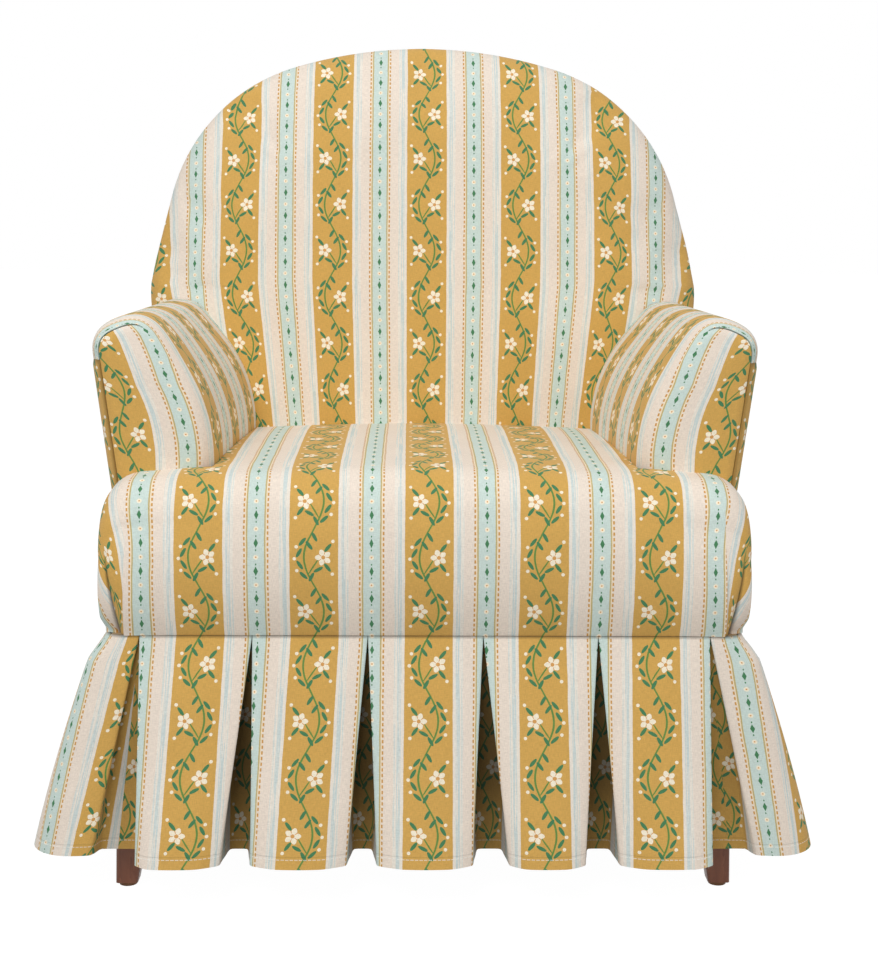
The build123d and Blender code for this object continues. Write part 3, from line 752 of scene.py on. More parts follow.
def pick_alone(piece: Piece) -> None:
    """Make a piece the active one, and the only one that is selected.

    Args:
        piece: mesh object.
    """
    bpy.ops.object.select_all(action="DESELECT")
    piece.select_set(True)
    bpy.context.view_layer.objects.active = piece


def pick_border() -> None:
    """Select the open border of the piece that is in edit mode."""
    bpy.context.tool_settings.mesh_select_mode = (False, True, False)
    bpy.ops.mesh.select_all(action="DESELECT")
    bpy.ops.mesh.select_non_manifold(
        extend=False, use_wire=False, use_boundary=True, use_multi_face=False, use_non_contiguous=False
    )


def add_grid(name: str, places: Array, prints: Array, keep: Array | None = None) -> Piece:
    """Lay a grid of cloth through given points.

    Args:
        name: the piece's name.
        places: points, as rows by columns by 3.
        prints: print coordinates in repeats, as rows by columns by 2.
        keep: which points stay, as rows by columns.

    Returns:
        The piece, with the print as its UV map.
    """
    rows, columns = places.shape[:2]
    bpy.ops.object.select_all(action="DESELECT")
    bpy.ops.mesh.primitive_grid_add(x_subdivisions=columns - 1, y_subdivisions=rows - 1, size=1.0)
    piece = bpy.context.active_object
    piece.name = piece.data.name = name
    mesh = piece.data
    flat = read_points(mesh)
    column = np.rint((flat[:, 0] + 0.5) * (columns - 1)).astype(int)
    row = np.rint((flat[:, 1] + 0.5) * (rows - 1)).astype(int)
    mesh.vertices.foreach_set("co", places[row, column].astype(np.float32).ravel())
    ends = np.empty(len(mesh.loops), np.int32)
    mesh.loops.foreach_get("vertex_index", ends)
    layer = mesh.uv_layers[0]
    layer.name = "print"
    layer.data.foreach_set("uv", prints[row[ends], column[ends]].astype(np.float32).ravel())
    if keep is not None:
        choose(mesh, ~keep[row, column])
        with edit_mode(piece):
            bpy.ops.mesh.delete(type="VERT")
    return piece


def read_points(mesh: bpy.types.Mesh) -> Array:
    """Every vertex of a mesh, as rows of X, Y, Z.

    Args:
        mesh: mesh to read.

    Returns:
        One row for each vertex.
    """
    flat = np.empty(len(mesh.vertices) * 3, np.float32)
    mesh.vertices.foreach_get("co", flat)
    return flat.reshape(-1, 3).astype(float)


def write_points(mesh: bpy.types.Mesh, points: Array) -> None:
    """Put every vertex of a mesh in its place."""
    mesh.vertices.foreach_set("co", points.astype(np.float32).ravel())
    mesh.update()


def mark(piece: Piece, name: str, values: Array) -> None:
    """Keep one number for each vertex, for the material to read."""
    layer = piece.data.attributes.new(name, "FLOAT", "POINT")
    layer.data.foreach_set("value", values.astype(np.float32))


def choose(mesh: bpy.types.Mesh, wanted: Array) -> None:
    """Select the vertices that are wanted, and nothing else.

    Args:
        mesh: mesh in object mode.
        wanted: one flag for each vertex.
    """
    mesh.polygons.foreach_set("select", np.zeros(len(mesh.polygons), bool))
    mesh.edges.foreach_set("select", np.zeros(len(mesh.edges), bool))
    mesh.vertices.foreach_set("select", np.asarray(wanted, bool))
    mesh.update()
    bpy.context.tool_settings.mesh_select_mode = (True, False, False)


def seal(piece: Piece) -> None:
    """Merge coincident points and turn every face outwards.

    Args:
        piece: mesh object.
    """
    with edit_mode(piece):
        bpy.ops.mesh.select_all(action="SELECT")
        bpy.ops.mesh.remove_doubles(threshold=MERGE_GAP)
        bpy.ops.mesh.normals_make_consistent(inside=False)
        bpy.ops.mesh.select_all(action="DESELECT")


def close_below(piece: Piece, level: float) -> None:
    """Drop the open border of a cover to one level and close it underneath.

    Args:
        piece: cover with one open border.
        level: height of its underside.
    """
    with edit_mode(piece):
        pick_border()
        bpy.ops.mesh.extrude_edges_move()
    mesh = piece.data
    picked = np.zeros(len(mesh.vertices), bool)
    mesh.vertices.foreach_get("select", picked)
    points = read_points(mesh)
    points[picked, 2] = level
    write_points(mesh, points)
    with edit_mode(piece):
        bpy.ops.mesh.select_all(action="SELECT")
        bpy.ops.mesh.remove_doubles(threshold=MERGE_GAP)
        pick_border()
        bpy.ops.mesh.edge_face_add()
        bpy.ops.mesh.select_all(action="DESELECT")


def order_mesh(piece: Piece) -> None:
    """Put edges and faces in a fixed order, so that every run settles alike.

    Args:
        piece: mesh object.
    """
    mesh = piece.data
    ends, count = np.empty(len(mesh.edges) * 2, np.int32), len(mesh.loops)
    corners, uses, prints = np.empty(count, np.int32), np.empty(count, np.int32), np.empty(count * 2, np.float32)
    mesh.edges.foreach_get("vertices", ends)
    mesh.loops.foreach_get("vertex_index", corners)
    mesh.loops.foreach_get("edge_index", uses)
    mesh.uv_layers.active.uv.foreach_get("vector", prints)
    ends = np.sort(ends.reshape(-1, 2), axis=1)
    order = np.lexsort((ends[:, 1], ends[:, 0]))
    uses = np.argsort(order)[uses].astype(np.int32)
    spans = [np.array(face.loop_indices) for face in mesh.polygons]
    spans = [np.roll(span, -int(np.argmin(corners[span]))) for span in spans]
    spans.sort(key=lambda span: corners[span].tolist())
    turned = np.concatenate(spans)
    starts = np.cumsum([0, *[len(span) for span in spans[:-1]]])
    mesh.edges.foreach_set("vertices", ends[order].ravel())
    mesh.polygons.foreach_set("loop_start", starts.astype(np.int32))
    mesh.loops.foreach_set("vertex_index", corners[turned])
    mesh.loops.foreach_set("edge_index", uses[turned])
    mesh.uv_layers.active.uv.foreach_set("vector", prints.reshape(-1, 2)[turned].ravel())
    mesh.update()


def thicken(piece: Piece, depth: float, offset: float) -> None:
    """Give a sheet its thickness with an applied Solidify.

    Args:
        piece: sheet.
        depth: its thickness.
        offset: side that it grows to, from -1 to 1.
    """
    pick_alone(piece)
    wall = piece.modifiers.new("Thickness", "SOLIDIFY")
    wall.thickness = depth
    wall.offset = offset
    bpy.ops.object.modifier_apply(modifier=wall.name)


def smooth(piece: Piece, angle: float = 60.0) -> None:
    """Shade a piece smooth, apart from sharp folds.

    Args:
        piece: mesh object.
        angle: sharpest turn, in degrees, that is still smooth.
    """
    pick_alone(piece)
    bpy.ops.object.shade_smooth_by_angle(angle=math.radians(angle))


def settle(piece: Piece, held: Array, pressure: float, cap: float, frames: int = 16) -> None:
    """Let the cloth swell over its filling, then keep the result.

    Args:
        piece: closed cover.
        held: which vertices are tacked down.
        pressure: push of the filling.
        cap: furthest that a point may move, in metres.
        frames: steps of the simulation.
    """
    group = piece.vertex_groups.new(name="held")
    group.add([int(i) for i in np.flatnonzero(held)], 1.0, "REPLACE")
    rest = read_points(piece.data)
    cloth = piece.modifiers.new("Settle", "CLOTH")
    cloth.settings.quality = 6
    cloth.settings.mass = 0.25
    cloth.settings.tension_stiffness = 25.0
    cloth.settings.compression_stiffness = 25.0
    cloth.settings.shear_stiffness = 10.0
    cloth.settings.bending_stiffness = 2.0
    cloth.settings.use_pressure = True
    cloth.settings.uniform_pressure_force = pressure
    cloth.settings.vertex_group_mass = "held"
    cloth.settings.effector_weights.gravity = 0.0
    cloth.collision_settings.use_collision = False
    cloth.point_cache.frame_start = 1
    cloth.point_cache.frame_end = frames
    for step in range(1, frames + 1):
        bpy.context.scene.frame_set(step)
    shaped = piece.evaluated_get(bpy.context.evaluated_depsgraph_get())
    move = read_points(shaped.data) - rest
    piece.modifiers.remove(cloth)
    bpy.context.scene.frame_set(1)
    reach = np.linalg.norm(move, axis=1, keepdims=True)
    move *= np.minimum(1.0, cap / np.maximum(reach, 1e-9))
    write_points(piece.data, rest + move)
    piece.vertex_groups.remove(group)


def finish_piece(piece: Piece, cloth: Material, nodes: Sequence[str]) -> None:
    """Dress a finished piece and tie it to the frame.

    Args:
        piece: the mesh object.
        cloth: its material.
        nodes: CAD nodes that it stands for.
    """
    piece.data.materials.clear()
    piece.data.materials.append(cloth)
    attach(piece, "root")
    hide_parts(*nodes)
    LOG.info("%s: %d faces", piece.name, len(piece.data.polygons))


# Back


@dataclass
class BackRest:
    """Arched back: straight border, crowned face, and a flat panel behind."""

    rake: float = math.radians(9.0)
    foot_y: float = 0.210
    foot_z: float = 0.265
    top: float = 0.602
    crown_radius: float = 0.528
    shoulder_radius: float = 0.217
    shoulder_turn: float = math.radians(17.2)
    side_lean: float = math.radians(13.7)
    hip: float = 0.318
    foot_half: float = 0.308
    border: float = 0.070
    face: float = 0.125
    draw: float = 0.100
    spine_top: float = 0.345
    print_shift: float = 0.003
    pull_top: float = 0.595
    pull_reach: float = 0.15
    pull_middle: float = 0.02
    pull_side: float = 0.04
    pull_least: float = 0.84
    hip_round: Pairs = ((-0.0006, -0.012), (-0.0012, 0.0), (-0.0035, 0.012))
    rim_steps: Pairs = (
        (0.0030, 0.0150),
        (0.0006, 0.0105),
        (0.0, 0.0085),
        (0.0015, 0.0048),
        (0.005, 0.0018),
        (0.012, 0.0002),
        (0.020, 0.0),
        (0.032, 0.0),
        (0.045, 0.0),
        (0.058, 0.0),
    )
    crown: float = 0.004
    foot_gap: float = 0.001
    foot_lift: float = 0.027
    foot_draw: float = 0.050
    held_edge: float = 0.010
    held_foot: float = 0.40
    pressure: float = 1.6
    cap: float = 0.006
    panel_inset: float = 0.0095
    panel_set: float = -0.0004
    panel_tuck: float = 0.0022
    panel_edge: float = 0.03
    panel_gap: float = 0.0012
    panel_thickness: float = 0.0012
    levels: int = 40
    arch_steps: int = 119
    line: Array = field(init=False)

    def __post_init__(self) -> None:
        """Draw the outline once, from the right foot over the top to the left foot."""
        crown = (0.0, self.top - self.crown_radius)
        turn = math.pi / 2 - self.shoulder_turn
        gap = self.crown_radius - self.shoulder_radius
        shoulder = (crown[0] + gap * math.cos(turn), crown[1] + gap * math.sin(turn))
        start_x = shoulder[0] + self.shoulder_radius * math.cos(self.side_lean)
        start_w = shoulder[1] + self.shoulder_radius * math.sin(self.side_lean)
        hip_x = start_x + (start_w - self.hip) * math.tan(self.side_lean)
        points = [
            *[(self.foot_half + (hip_x - self.foot_half) * s, self.hip * s) for s in np.linspace(-0.1, 0.92, 60)],
            *[(hip_x + out, self.hip + up) for out, up in self.hip_round],
            *[
                (hip_x + (start_x - hip_x) * s, self.hip + (start_w - self.hip) * s)
                for s in np.linspace(0.25, 1.0, 40)
            ],
        ]
        for angle in np.linspace(self.side_lean, turn, 60)[1:]:
            points.append(
                (
                    shoulder[0] + self.shoulder_radius * math.cos(angle),
                    shoulder[1] + self.shoulder_radius * math.sin(angle),
                )
            )
        for angle in np.linspace(turn, math.pi / 2, 60)[1:]:
            points.append(
                (crown[0] + self.crown_radius * math.cos(angle), crown[1] + self.crown_radius * math.sin(angle))
            )
        half = np.array(points)
        self.line = np.vstack([half, half[-2::-1] * (-1, 1)])

    def place(self, x: Array, w: Array, n: Array) -> Array:
        """World points from the raked plane's coordinates.

        Args:
            x: distance across.
            w: height up the raked plane.
            n: distance in front of it.

        Returns:
            World points.
        """
        y = self.foot_y + w * math.sin(self.rake) - n * math.cos(self.rake)
        z = self.foot_z + w * math.cos(self.rake) + n * math.sin(self.rake)
        return np.stack(np.broadcast_arrays(x, y, z), axis=-1)

    def plane(self, y: Array, z: Array) -> tuple[Array, Array]:
        """Height up the raked plane and distance in front of it.

        Args:
            y: world depth.
            z: world height.

        Returns:
            Height up the plane, and distance in front of it.
        """
        up, away = z - self.foot_z, y - self.foot_y
        sine, cosine = math.sin(self.rake), math.cos(self.rake)
        return away * sine + up * cosine, up * sine - away * cosine

    def face_depth(self, x: Array, w: Array) -> Array:
        """How far the crowned face stands in front of the raked plane.

        Args:
            x: distance across.
            w: height up the raked plane.

        Returns:
            Depth of the face at each point.
        """
        gap = np.stack([x, w], axis=-1)[..., None, :] - self.line
        inset = np.sqrt((gap**2).sum(-1)).min(-1)
        half = np.interp(w, self.line[: len(self.line) // 2, 1], self.line[: len(self.line) // 2, 0])
        inset = np.where(np.abs(x) > half, 0.0, inset)
        rise = np.sqrt(np.clip(1 - (1 - np.clip(inset / self.draw, 0, 1)) ** 2, 0, 1))
        return self.border + (self.face - self.border) * rise

    def outline(self) -> tuple[Array, Array]:
        """Samples of the outline and their outward normals, with matching heights on both sides.

        Returns:
            Points and normals, from the right foot over the top to the left foot.
        """
        run = np.diff(self.line, axis=0, prepend=self.line[:1] - (self.line[1] - self.line[0]))
        after = np.vstack([run[1:], run[-1:]])
        tangent = run / np.linalg.norm(run, axis=1, keepdims=True)
        tangent = tangent + after / np.linalg.norm(after, axis=1, keepdims=True)
        tangent /= np.linalg.norm(tangent, axis=1, keepdims=True)
        normal = np.stack([tangent[:, 1], -tangent[:, 0]], axis=1)
        length = np.concatenate([[0.0], np.cumsum(np.linalg.norm(np.diff(self.line, axis=0), axis=1))])
        middle = len(self.line) // 2
        heights = np.linspace(0.0, self.spine_top, self.levels)
        right = np.interp(heights, self.line[: middle + 1, 1], length[: middle + 1])
        left = length[-1] - right[::-1]
        over = np.linspace(right[-1], left[0], self.arch_steps + 2)[1:-1]
        stops = np.concatenate([right, over, left])
        spots = np.stack([np.interp(stops, length, self.line[:, k]) for k in (0, 1)], axis=1)
        turned = np.stack([np.interp(stops, length, normal[:, k]) for k in (0, 1)], axis=1)
        return spots, turned / np.linalg.norm(turned, axis=1, keepdims=True)

    def lifted(self, w: Array, n: float, level: float) -> Array:
        """Heights squeezed upwards so that the lowest one stands at a world level.

        Args:
            w: heights up the plane.
            n: distance in front of it.
            level: world height of the lowest point.

        Returns:
            The squeezed heights.
        """
        low = (level - self.foot_z - n * math.sin(self.rake)) / math.cos(self.rake)
        share = np.clip(1 - w / self.spine_top, 0.0, 1.0)
        return w + low * share

    def printed(self, x: Array, w: Array, z: Array) -> Array:
        """Print coordinates: upright stripes, drawn in towards the seat.

        Args:
            x: distance across.
            w: height up the plane.
            z: world height.

        Returns:
            Print coordinates in repeats.
        """
        pull = np.clip((self.pull_top - z) / self.pull_reach, 0.0, 1.15) ** 1.1
        squeeze = 1 - pull * (self.pull_middle + self.pull_side * np.abs(x) / REPEAT)
        squeeze = np.clip(squeeze, self.pull_least, 1.0)
        return np.stack([(x - self.print_shift) / (REPEAT * squeeze), w / REPEAT], axis=-1)

    def build(self, cloth: Material) -> None:
        """Make the padded back and the outside panel.

        Args:
            cloth: cover material.
        """
        spots, normals = self.outline()
        rings = list(self.rim_steps)
        for angle in np.linspace(0.0, math.pi / 2, 17):
            rise = (self.face - self.border) * math.sin(angle)
            rings.append((self.border + rise, self.draw * (1 - math.cos(angle))))
        places, prints = [], []
        spine = np.stack([np.zeros(len(spots)), np.minimum(spots[:, 1], self.spine_top)], axis=1)
        for share in (1.0, 0.6, 0.25):
            n, inset = rings[0]
            level = SEAM_LEVEL + self.foot_gap
            edge = spots - normals * inset
            flat = edge + (spine - edge) * share
            w = self.lifted(flat[:, 1], n, level)
            places.append(self.place(flat[:, 0], w, np.full(len(w), n)))
            prints.append(self.printed(flat[:, 0], w, places[-1][:, 2]))
        travel = np.concatenate([[0.0], np.cumsum(np.linalg.norm(np.diff(rings, axis=0), axis=1))])
        rim = [n for n, _ in rings].index(self.border)
        for k, (n, inset) in enumerate(rings):
            level = SEAM_LEVEL + self.foot_gap + self.foot_lift * min(1.0, inset / self.foot_draw)
            flat = spots - normals * inset
            w = self.lifted(flat[:, 1], n, level)
            places.append(self.place(flat[:, 0], w, np.full(len(w), n)))
            past = travel[rim] - travel[k] + inset if k < rim else 0.0
            print_x, print_w = flat[:, 0] + normals[:, 0] * past, w + normals[:, 1] * past
            prints.append(self.printed(print_x, print_w, places[-1][:, 2]))
        n, inset = rings[-1]
        edge = spots - normals * inset
        spine = np.stack([np.zeros(len(spots)), np.minimum(edge[:, 1], self.spine_top)], axis=1)
        for share in np.linspace(0.0, 1.0, 17)[1:]:
            flat = edge + (spine - edge) * share
            swell = n + self.crown * (1 - (1 - share) ** 2)
            w = self.lifted(flat[:, 1], swell, SEAM_LEVEL + self.foot_gap + self.foot_lift)
            places.append(self.place(flat[:, 0], w, np.full(len(w), swell)))
            prints.append(self.printed(flat[:, 0], w, places[-1][:, 2]))
        piece = add_grid("back_cushion", *closed_loops(np.array(places), np.array(prints)))
        seal(piece)
        points = read_points(piece.data)
        _, depth = self.plane(points[:, 1], points[:, 2])
        held = (depth < self.border + self.held_edge) | (points[:, 2] < self.held_foot)
        settle(piece, held, self.pressure, self.cap)
        smooth(piece)
        finish_piece(piece, cloth, ["back_foam", "back_cover"])
        self.panel(cloth)

    def panel(self, cloth: Material) -> None:
        """Make the outside back, stretched flat inside the rim.

        Args:
            cloth: cover material.
        """
        spots, normals = self.outline()
        edge = spots - normals * self.panel_inset
        spine = np.stack([np.zeros(len(spots)), np.minimum(edge[:, 1], self.spine_top)], axis=1)
        places, prints = [], []
        for share in np.concatenate([[0.0, 0.01, self.panel_edge], np.linspace(0.08, 1.0, 15)]):
            flat = edge + (spine - edge) * share
            n = self.panel_set + self.panel_tuck * max(0.0, 1 - share / self.panel_edge)
            w = self.lifted(flat[:, 1], n, SEAM_LEVEL + self.panel_gap)
            places.append(self.place(flat[:, 0], w, np.full(len(w), n)))
            prints.append(np.stack([(flat[:, 0] - self.print_shift) / REPEAT, w / REPEAT], axis=-1))
        piece = add_grid("outside_back_panel", np.array(places), np.array(prints))
        seal(piece)
        thicken(piece, self.panel_thickness, -1.0)
        smooth(piece)
        finish_piece(piece, cloth, ["outside_back"])


# Arms


@dataclass
class Arm:
    """Rolled arm: one cover over the front, the inside and the top, and a panel outside."""

    side: Side
    back: BackRest
    front: float = -0.193
    rear: float = 0.200
    inner_front: float = 0.211
    inner_rear: float = 0.191
    roll_radius: float = 0.034
    roll: Pair = (0.297, 0.541)
    spring: float = 0.109
    lean: float = math.radians(7.0)
    round_deep: float = 0.030
    round_wide: float = 0.020
    spine_top: float = 0.515
    panel_top: float = 0.530
    lip: float = 0.0092
    levels: int = 44
    top_steps: int = 52
    blue_line: float = 0.0235
    gold_line: float = 0.042
    dart_start: float = 0.2765
    seam_turn: float = 60.0
    seam_half: float = 2.4
    inner_swell: Triple = (0.007, 0.264, 0.018)
    outer_drop: Triple = (0.004, 0.312, 0.020)
    swell_level: float = 0.50
    swell_rise: float = 0.04
    back_gap: float = 0.0005
    rear_guess: float = 0.15
    knee: float = 0.50
    dart_prints: Pair = (0.5, 0.435)
    dart_steps: int = 14
    groove_deep: float = 0.0024
    groove_draw: float = 0.4
    front_crown: float = 0.003
    tail_spot: Triple = (0.262, -0.010, 0.42)
    tacked_below: float = 0.43
    tacked_outside: float = 0.312
    tacked_behind: float = 0.05
    pressure: float = 1.2
    cap: float = 0.004
    panel_rows: Pair = (0.0003, 0.0006)
    panel_start: Pair = (0.0016, 0.0010)
    panel_tuck: float = 0.0016
    panel_proud: float = 0.0006
    panel_edge: float = 0.007
    panel_out: float = 0.325
    panel_print: float = 0.205
    panel_thickness: float = 0.0010

    @staticmethod
    def hump(x: Array, shape: Triple) -> Array:
        """Smooth rise of a given height, middle and spread."""
        height, middle, spread = shape
        return height * np.exp(-(((x - middle) / spread) ** 2))

    def profile(self, y: float) -> tuple[Array, Array, Array]:
        """Cross section at one depth.

        Args:
            y: depth.

        Returns:
            Points as X and Z, outward normals, and the length along the outline from the inner foot.
        """
        share = (y - self.front) / (self.rear - self.front)
        roll = np.array(self.roll)
        inner = self.inner_front + share * (self.inner_rear - self.inner_front)
        reach = roll[0] - inner
        sweep = (reach**2 + self.spring**2 - self.roll_radius**2) / (2 * (reach - self.roll_radius))
        hub = np.array([inner + sweep, roll[1] - self.spring])
        turn = math.atan2(roll[1] - hub[1], roll[0] - hub[0])
        spots, normals = [], []
        for z in np.linspace(SEAM_LEVEL, hub[1], 60)[:-1]:
            spots.append((inner, z))
            normals.append((-1.0, 0.0))
        for angle in np.linspace(math.pi, turn, 120)[:-1]:
            normals.append((math.cos(angle), math.sin(angle)))
            spots.append(hub + sweep * np.array(normals[-1]))
        for angle in np.linspace(turn, -self.lean, 160):
            normals.append((math.cos(angle), math.sin(angle)))
            spots.append(roll + self.roll_radius * np.array(normals[-1]))
        outer = spots[-1]
        for z in np.linspace(outer[1], SEAM_LEVEL, 60)[1:]:
            spots.append((outer[0] - (outer[1] - z) * math.tan(self.lean), z))
            normals.append(normals[-1])
        line, turned = np.array(spots), np.array(normals)
        swell = self.hump(line[:, 0], self.inner_swell) - self.hump(line[:, 0], self.outer_drop)
        line[:, 1] += swell * np.asarray(ease((line[:, 1] - self.swell_level) / self.swell_rise))
        length = np.concatenate([[0.0], np.cumsum(np.linalg.norm(np.diff(line, axis=0), axis=1))])
        apex = int(np.argmax(line[:, 1]))
        heights = np.linspace(SEAM_LEVEL, self.spine_top, self.levels)
        inside = np.interp(heights, line[: apex + 1, 1], length[: apex + 1])
        outside = np.interp(heights, line[apex:, 1][::-1], length[apex:][::-1])[::-1]
        over = np.linspace(inside[-1], outside[0], self.top_steps + 2)[1:-1]
        stops = np.concatenate([inside, over, outside])
        at = np.stack([np.interp(stops, length, line[:, k]) for k in (0, 1)], axis=1)
        facing = np.stack([np.interp(stops, length, turned[:, k]) for k in (0, 1)], axis=1)
        return at, facing / np.linalg.norm(facing, axis=1, keepdims=True), stops

    def rounding(self) -> list[Triple]:
        """Steps round the front edge, as the turn in degrees, the set back and the draw in.

        Returns:
            Steps from the front face to the side.
        """
        seam, near = self.seam_turn, self.seam_half
        turns = [90, 84, 77, 70, seam + near, seam, seam, seam - near, 50, 43, 36, 29, 22, 15, 7, 0]
        steps = []
        for turn in turns:
            angle = math.radians(turn)
            steps.append((turn, self.round_deep * (1 - math.sin(angle)), self.round_wide * (1 - math.cos(angle))))
        return steps

    def rear_ends(self, at: Array) -> Array:
        """Depth at which each line along the arm meets the back.

        Args:
            at: points across the arm, as X and Z.

        Returns:
            One depth for each point.
        """
        y = np.full(len(at), self.rear_guess)
        for _ in range(12):
            w, n = self.back.plane(y, at[:, 1])
            y = y + (n - self.back.face_depth(at[:, 0], w) - self.back_gap) / math.cos(self.back.rake)
        return y

    def spine(self, at: Array) -> Array:
        """Middle line of the front face that each sample of the outline runs in to.

        Args:
            at: outline of the arm, as X and Z.

        Returns:
            One point for each sample.
        """
        levels = self.levels
        middle = (at[:levels, 0] + at[: -levels - 1 : -1, 0]) / 2
        line = np.empty_like(at)
        line[:levels] = np.stack([middle, at[:levels, 1]], axis=1)
        line[-levels:] = line[:levels][::-1]
        line[levels:-levels] = line[levels - 1]
        return line

    def sections(self, y: Array) -> Array:
        """Outline samples, each at its own depth.

        Args:
            y: depth of each sample.

        Returns:
            Points as X and Z.
        """
        rail = np.linspace(float(y.min()), float(y.max()) + 1e-6, 12)
        book = np.array([self.profile(float(v))[0] for v in rail])
        flat = np.empty((len(y), 2))
        for k in range(len(y)):
            flat[k] = [np.interp(y[k], rail, book[:, k, axis]) for axis in (0, 1)]
        return flat

    def dart_print(self, seam_line: Array) -> tuple[Array, Array]:
        """Print across the fabric along the front seam, and how far each sample is stitched.

        Args:
            seam_line: points of the seam, as X and Z.

        Returns:
            Print coordinates, and stitching from 0 to 1.
        """
        inset = self.round_wide * (1 - math.cos(math.radians(self.seam_turn)))
        near, far = self.dart_prints
        first = near + (self.blue_line - inset) / REPEAT
        apex = int(np.argmax(seam_line[:, 1]))
        start = int(np.searchsorted(seam_line[:apex, 0], self.dart_start))
        knee = int(np.searchsorted(seam_line[:apex, 1], self.knee))
        order = np.arange(len(seam_line))
        stops = [0, knee, start, start + self.dart_steps, len(order)]
        across = np.interp(order, stops, [first, first, near, far, far])
        return across, np.asarray(ease((order - start + 1.5) / 4.0))

    def build(self, cloth: Material) -> None:
        """Make the padded arm and its outside panel.

        Args:
            cloth: cover material.
        """
        at, facing, stops = self.profile(self.front)
        count = len(at)
        spine = self.spine(at)
        inset = self.round_wide * (1 - math.cos(math.radians(self.seam_turn)))
        seam_line = at - facing * inset
        seam_u, stitched = self.dart_print(seam_line)
        inner = int(np.argmin(stitched < 0.5)) + 1
        rows: list[tuple[Array, Array, Array]] = []

        def front_print(flat: Array) -> Array:
            """Stripes on the front face, in line with the inner edge.

            Args:
                flat: points on the front face, as X and Z.

            Returns:
                Print coordinates in repeats.
            """
            edge = np.interp(flat[:, 1], seam_line[:inner, 1], seam_line[:inner, 0])
            first = np.interp(flat[:, 1], seam_line[:inner, 1], seam_u[:inner])
            tall = np.interp(flat[:, 1], seam_line[:inner, 1], stops[:inner])
            tall = tall + np.maximum(0.0, flat[:, 1] - seam_line[inner - 1, 1])
            return np.stack([first - (flat[:, 0] - edge) / REPEAT, tall / REPEAT], axis=-1)

        edge = at - facing * self.round_wide
        for share in np.linspace(1.0, 0.0, 9)[:-1]:
            flat = edge + (spine - edge) * share
            y = np.full(count, self.front - self.front_crown * (1 - (1 - share) ** 2))
            rows.append((np.stack([flat[:, 0], y, flat[:, 1]], axis=1), front_print(flat), np.zeros(count)))
        steps = self.rounding()
        bends = np.array([(back, draw) for _, back, draw in steps])
        travel = np.concatenate([[0.0], np.cumsum(np.linalg.norm(np.diff(bends, axis=0), axis=1))])
        seam_at = [k for k, step in enumerate(steps) if step[0] == self.seam_turn][0]
        start_u = 1.0 - (self.gold_line - self.round_deep) / REPEAT
        for k, (turn, back, draw) in enumerate(steps):
            spot, out, along = self.profile(self.front + back)
            groove = stitched * self.groove_deep if turn == self.seam_turn else np.zeros(count)
            flat = spot - out * (draw + groove[:, None] * self.groove_draw)
            place = np.stack([flat[:, 0], self.front + back + groove, flat[:, 1]], axis=1)
            share = max(0.0, (travel[k] - travel[seam_at]) / (travel[-1] - travel[seam_at]))
            wrap = np.stack([seam_u + (start_u - seam_u) * share, along / REPEAT], axis=1)
            printed = front_print(spot - out * draw) if k <= seam_at else wrap
            rows.append((place, printed, groove / self.groove_deep))
        start = self.front + self.round_deep
        ends = self.rear_ends(self.profile(0.0)[0])
        for share in np.linspace(0.0, 1.0, 42)[1:]:
            y = start + (ends - start) * share
            flat = self.sections(y)
            mark_u = start_u + (y - start) / REPEAT
            place = np.stack([flat[:, 0], y, flat[:, 1]], axis=1)
            rows.append((place, np.stack([mark_u, stops / REPEAT], axis=1), np.zeros(count)))
        tail, tail_print, _ = rows[-1]
        tail_x, behind, tail_z = self.tail_spot
        centre = np.array([tail_x, tail[:, 1].min() + behind, tail_z])
        for share in (0.3, 0.65, 1.0):
            rows.append((tail + (centre - tail) * share, tail_print, np.zeros(count)))
        places, prints, seam_shadow = (np.array(part) for part in zip(*rows))
        places, prints = closed_loops(places, prints)
        seam_shadow = np.concatenate([seam_shadow, np.zeros((len(seam_shadow), places.shape[1] - count))], axis=1)
        places[..., 0] *= self.side.value
        hand = self.side.name.lower()
        piece = add_grid(f"arm_cushion_{hand}", places, prints)
        # Painted shadow along the front seam's groove, kept as the seam mark.
        mark_grid(piece, "seam", places, seam_shadow)
        seal(piece)
        points = read_points(piece.data)
        tacked = (points[:, 2] < self.tacked_below) | (np.abs(points[:, 0]) > self.tacked_outside)
        tacked |= points[:, 1] > self.tacked_behind
        settle(piece, tacked, self.pressure, self.cap)
        smooth(piece)
        finish_piece(piece, cloth, [f"arm_foam_{hand}", f"arm_cover_{hand}"])
        self.panel(cloth, hand)

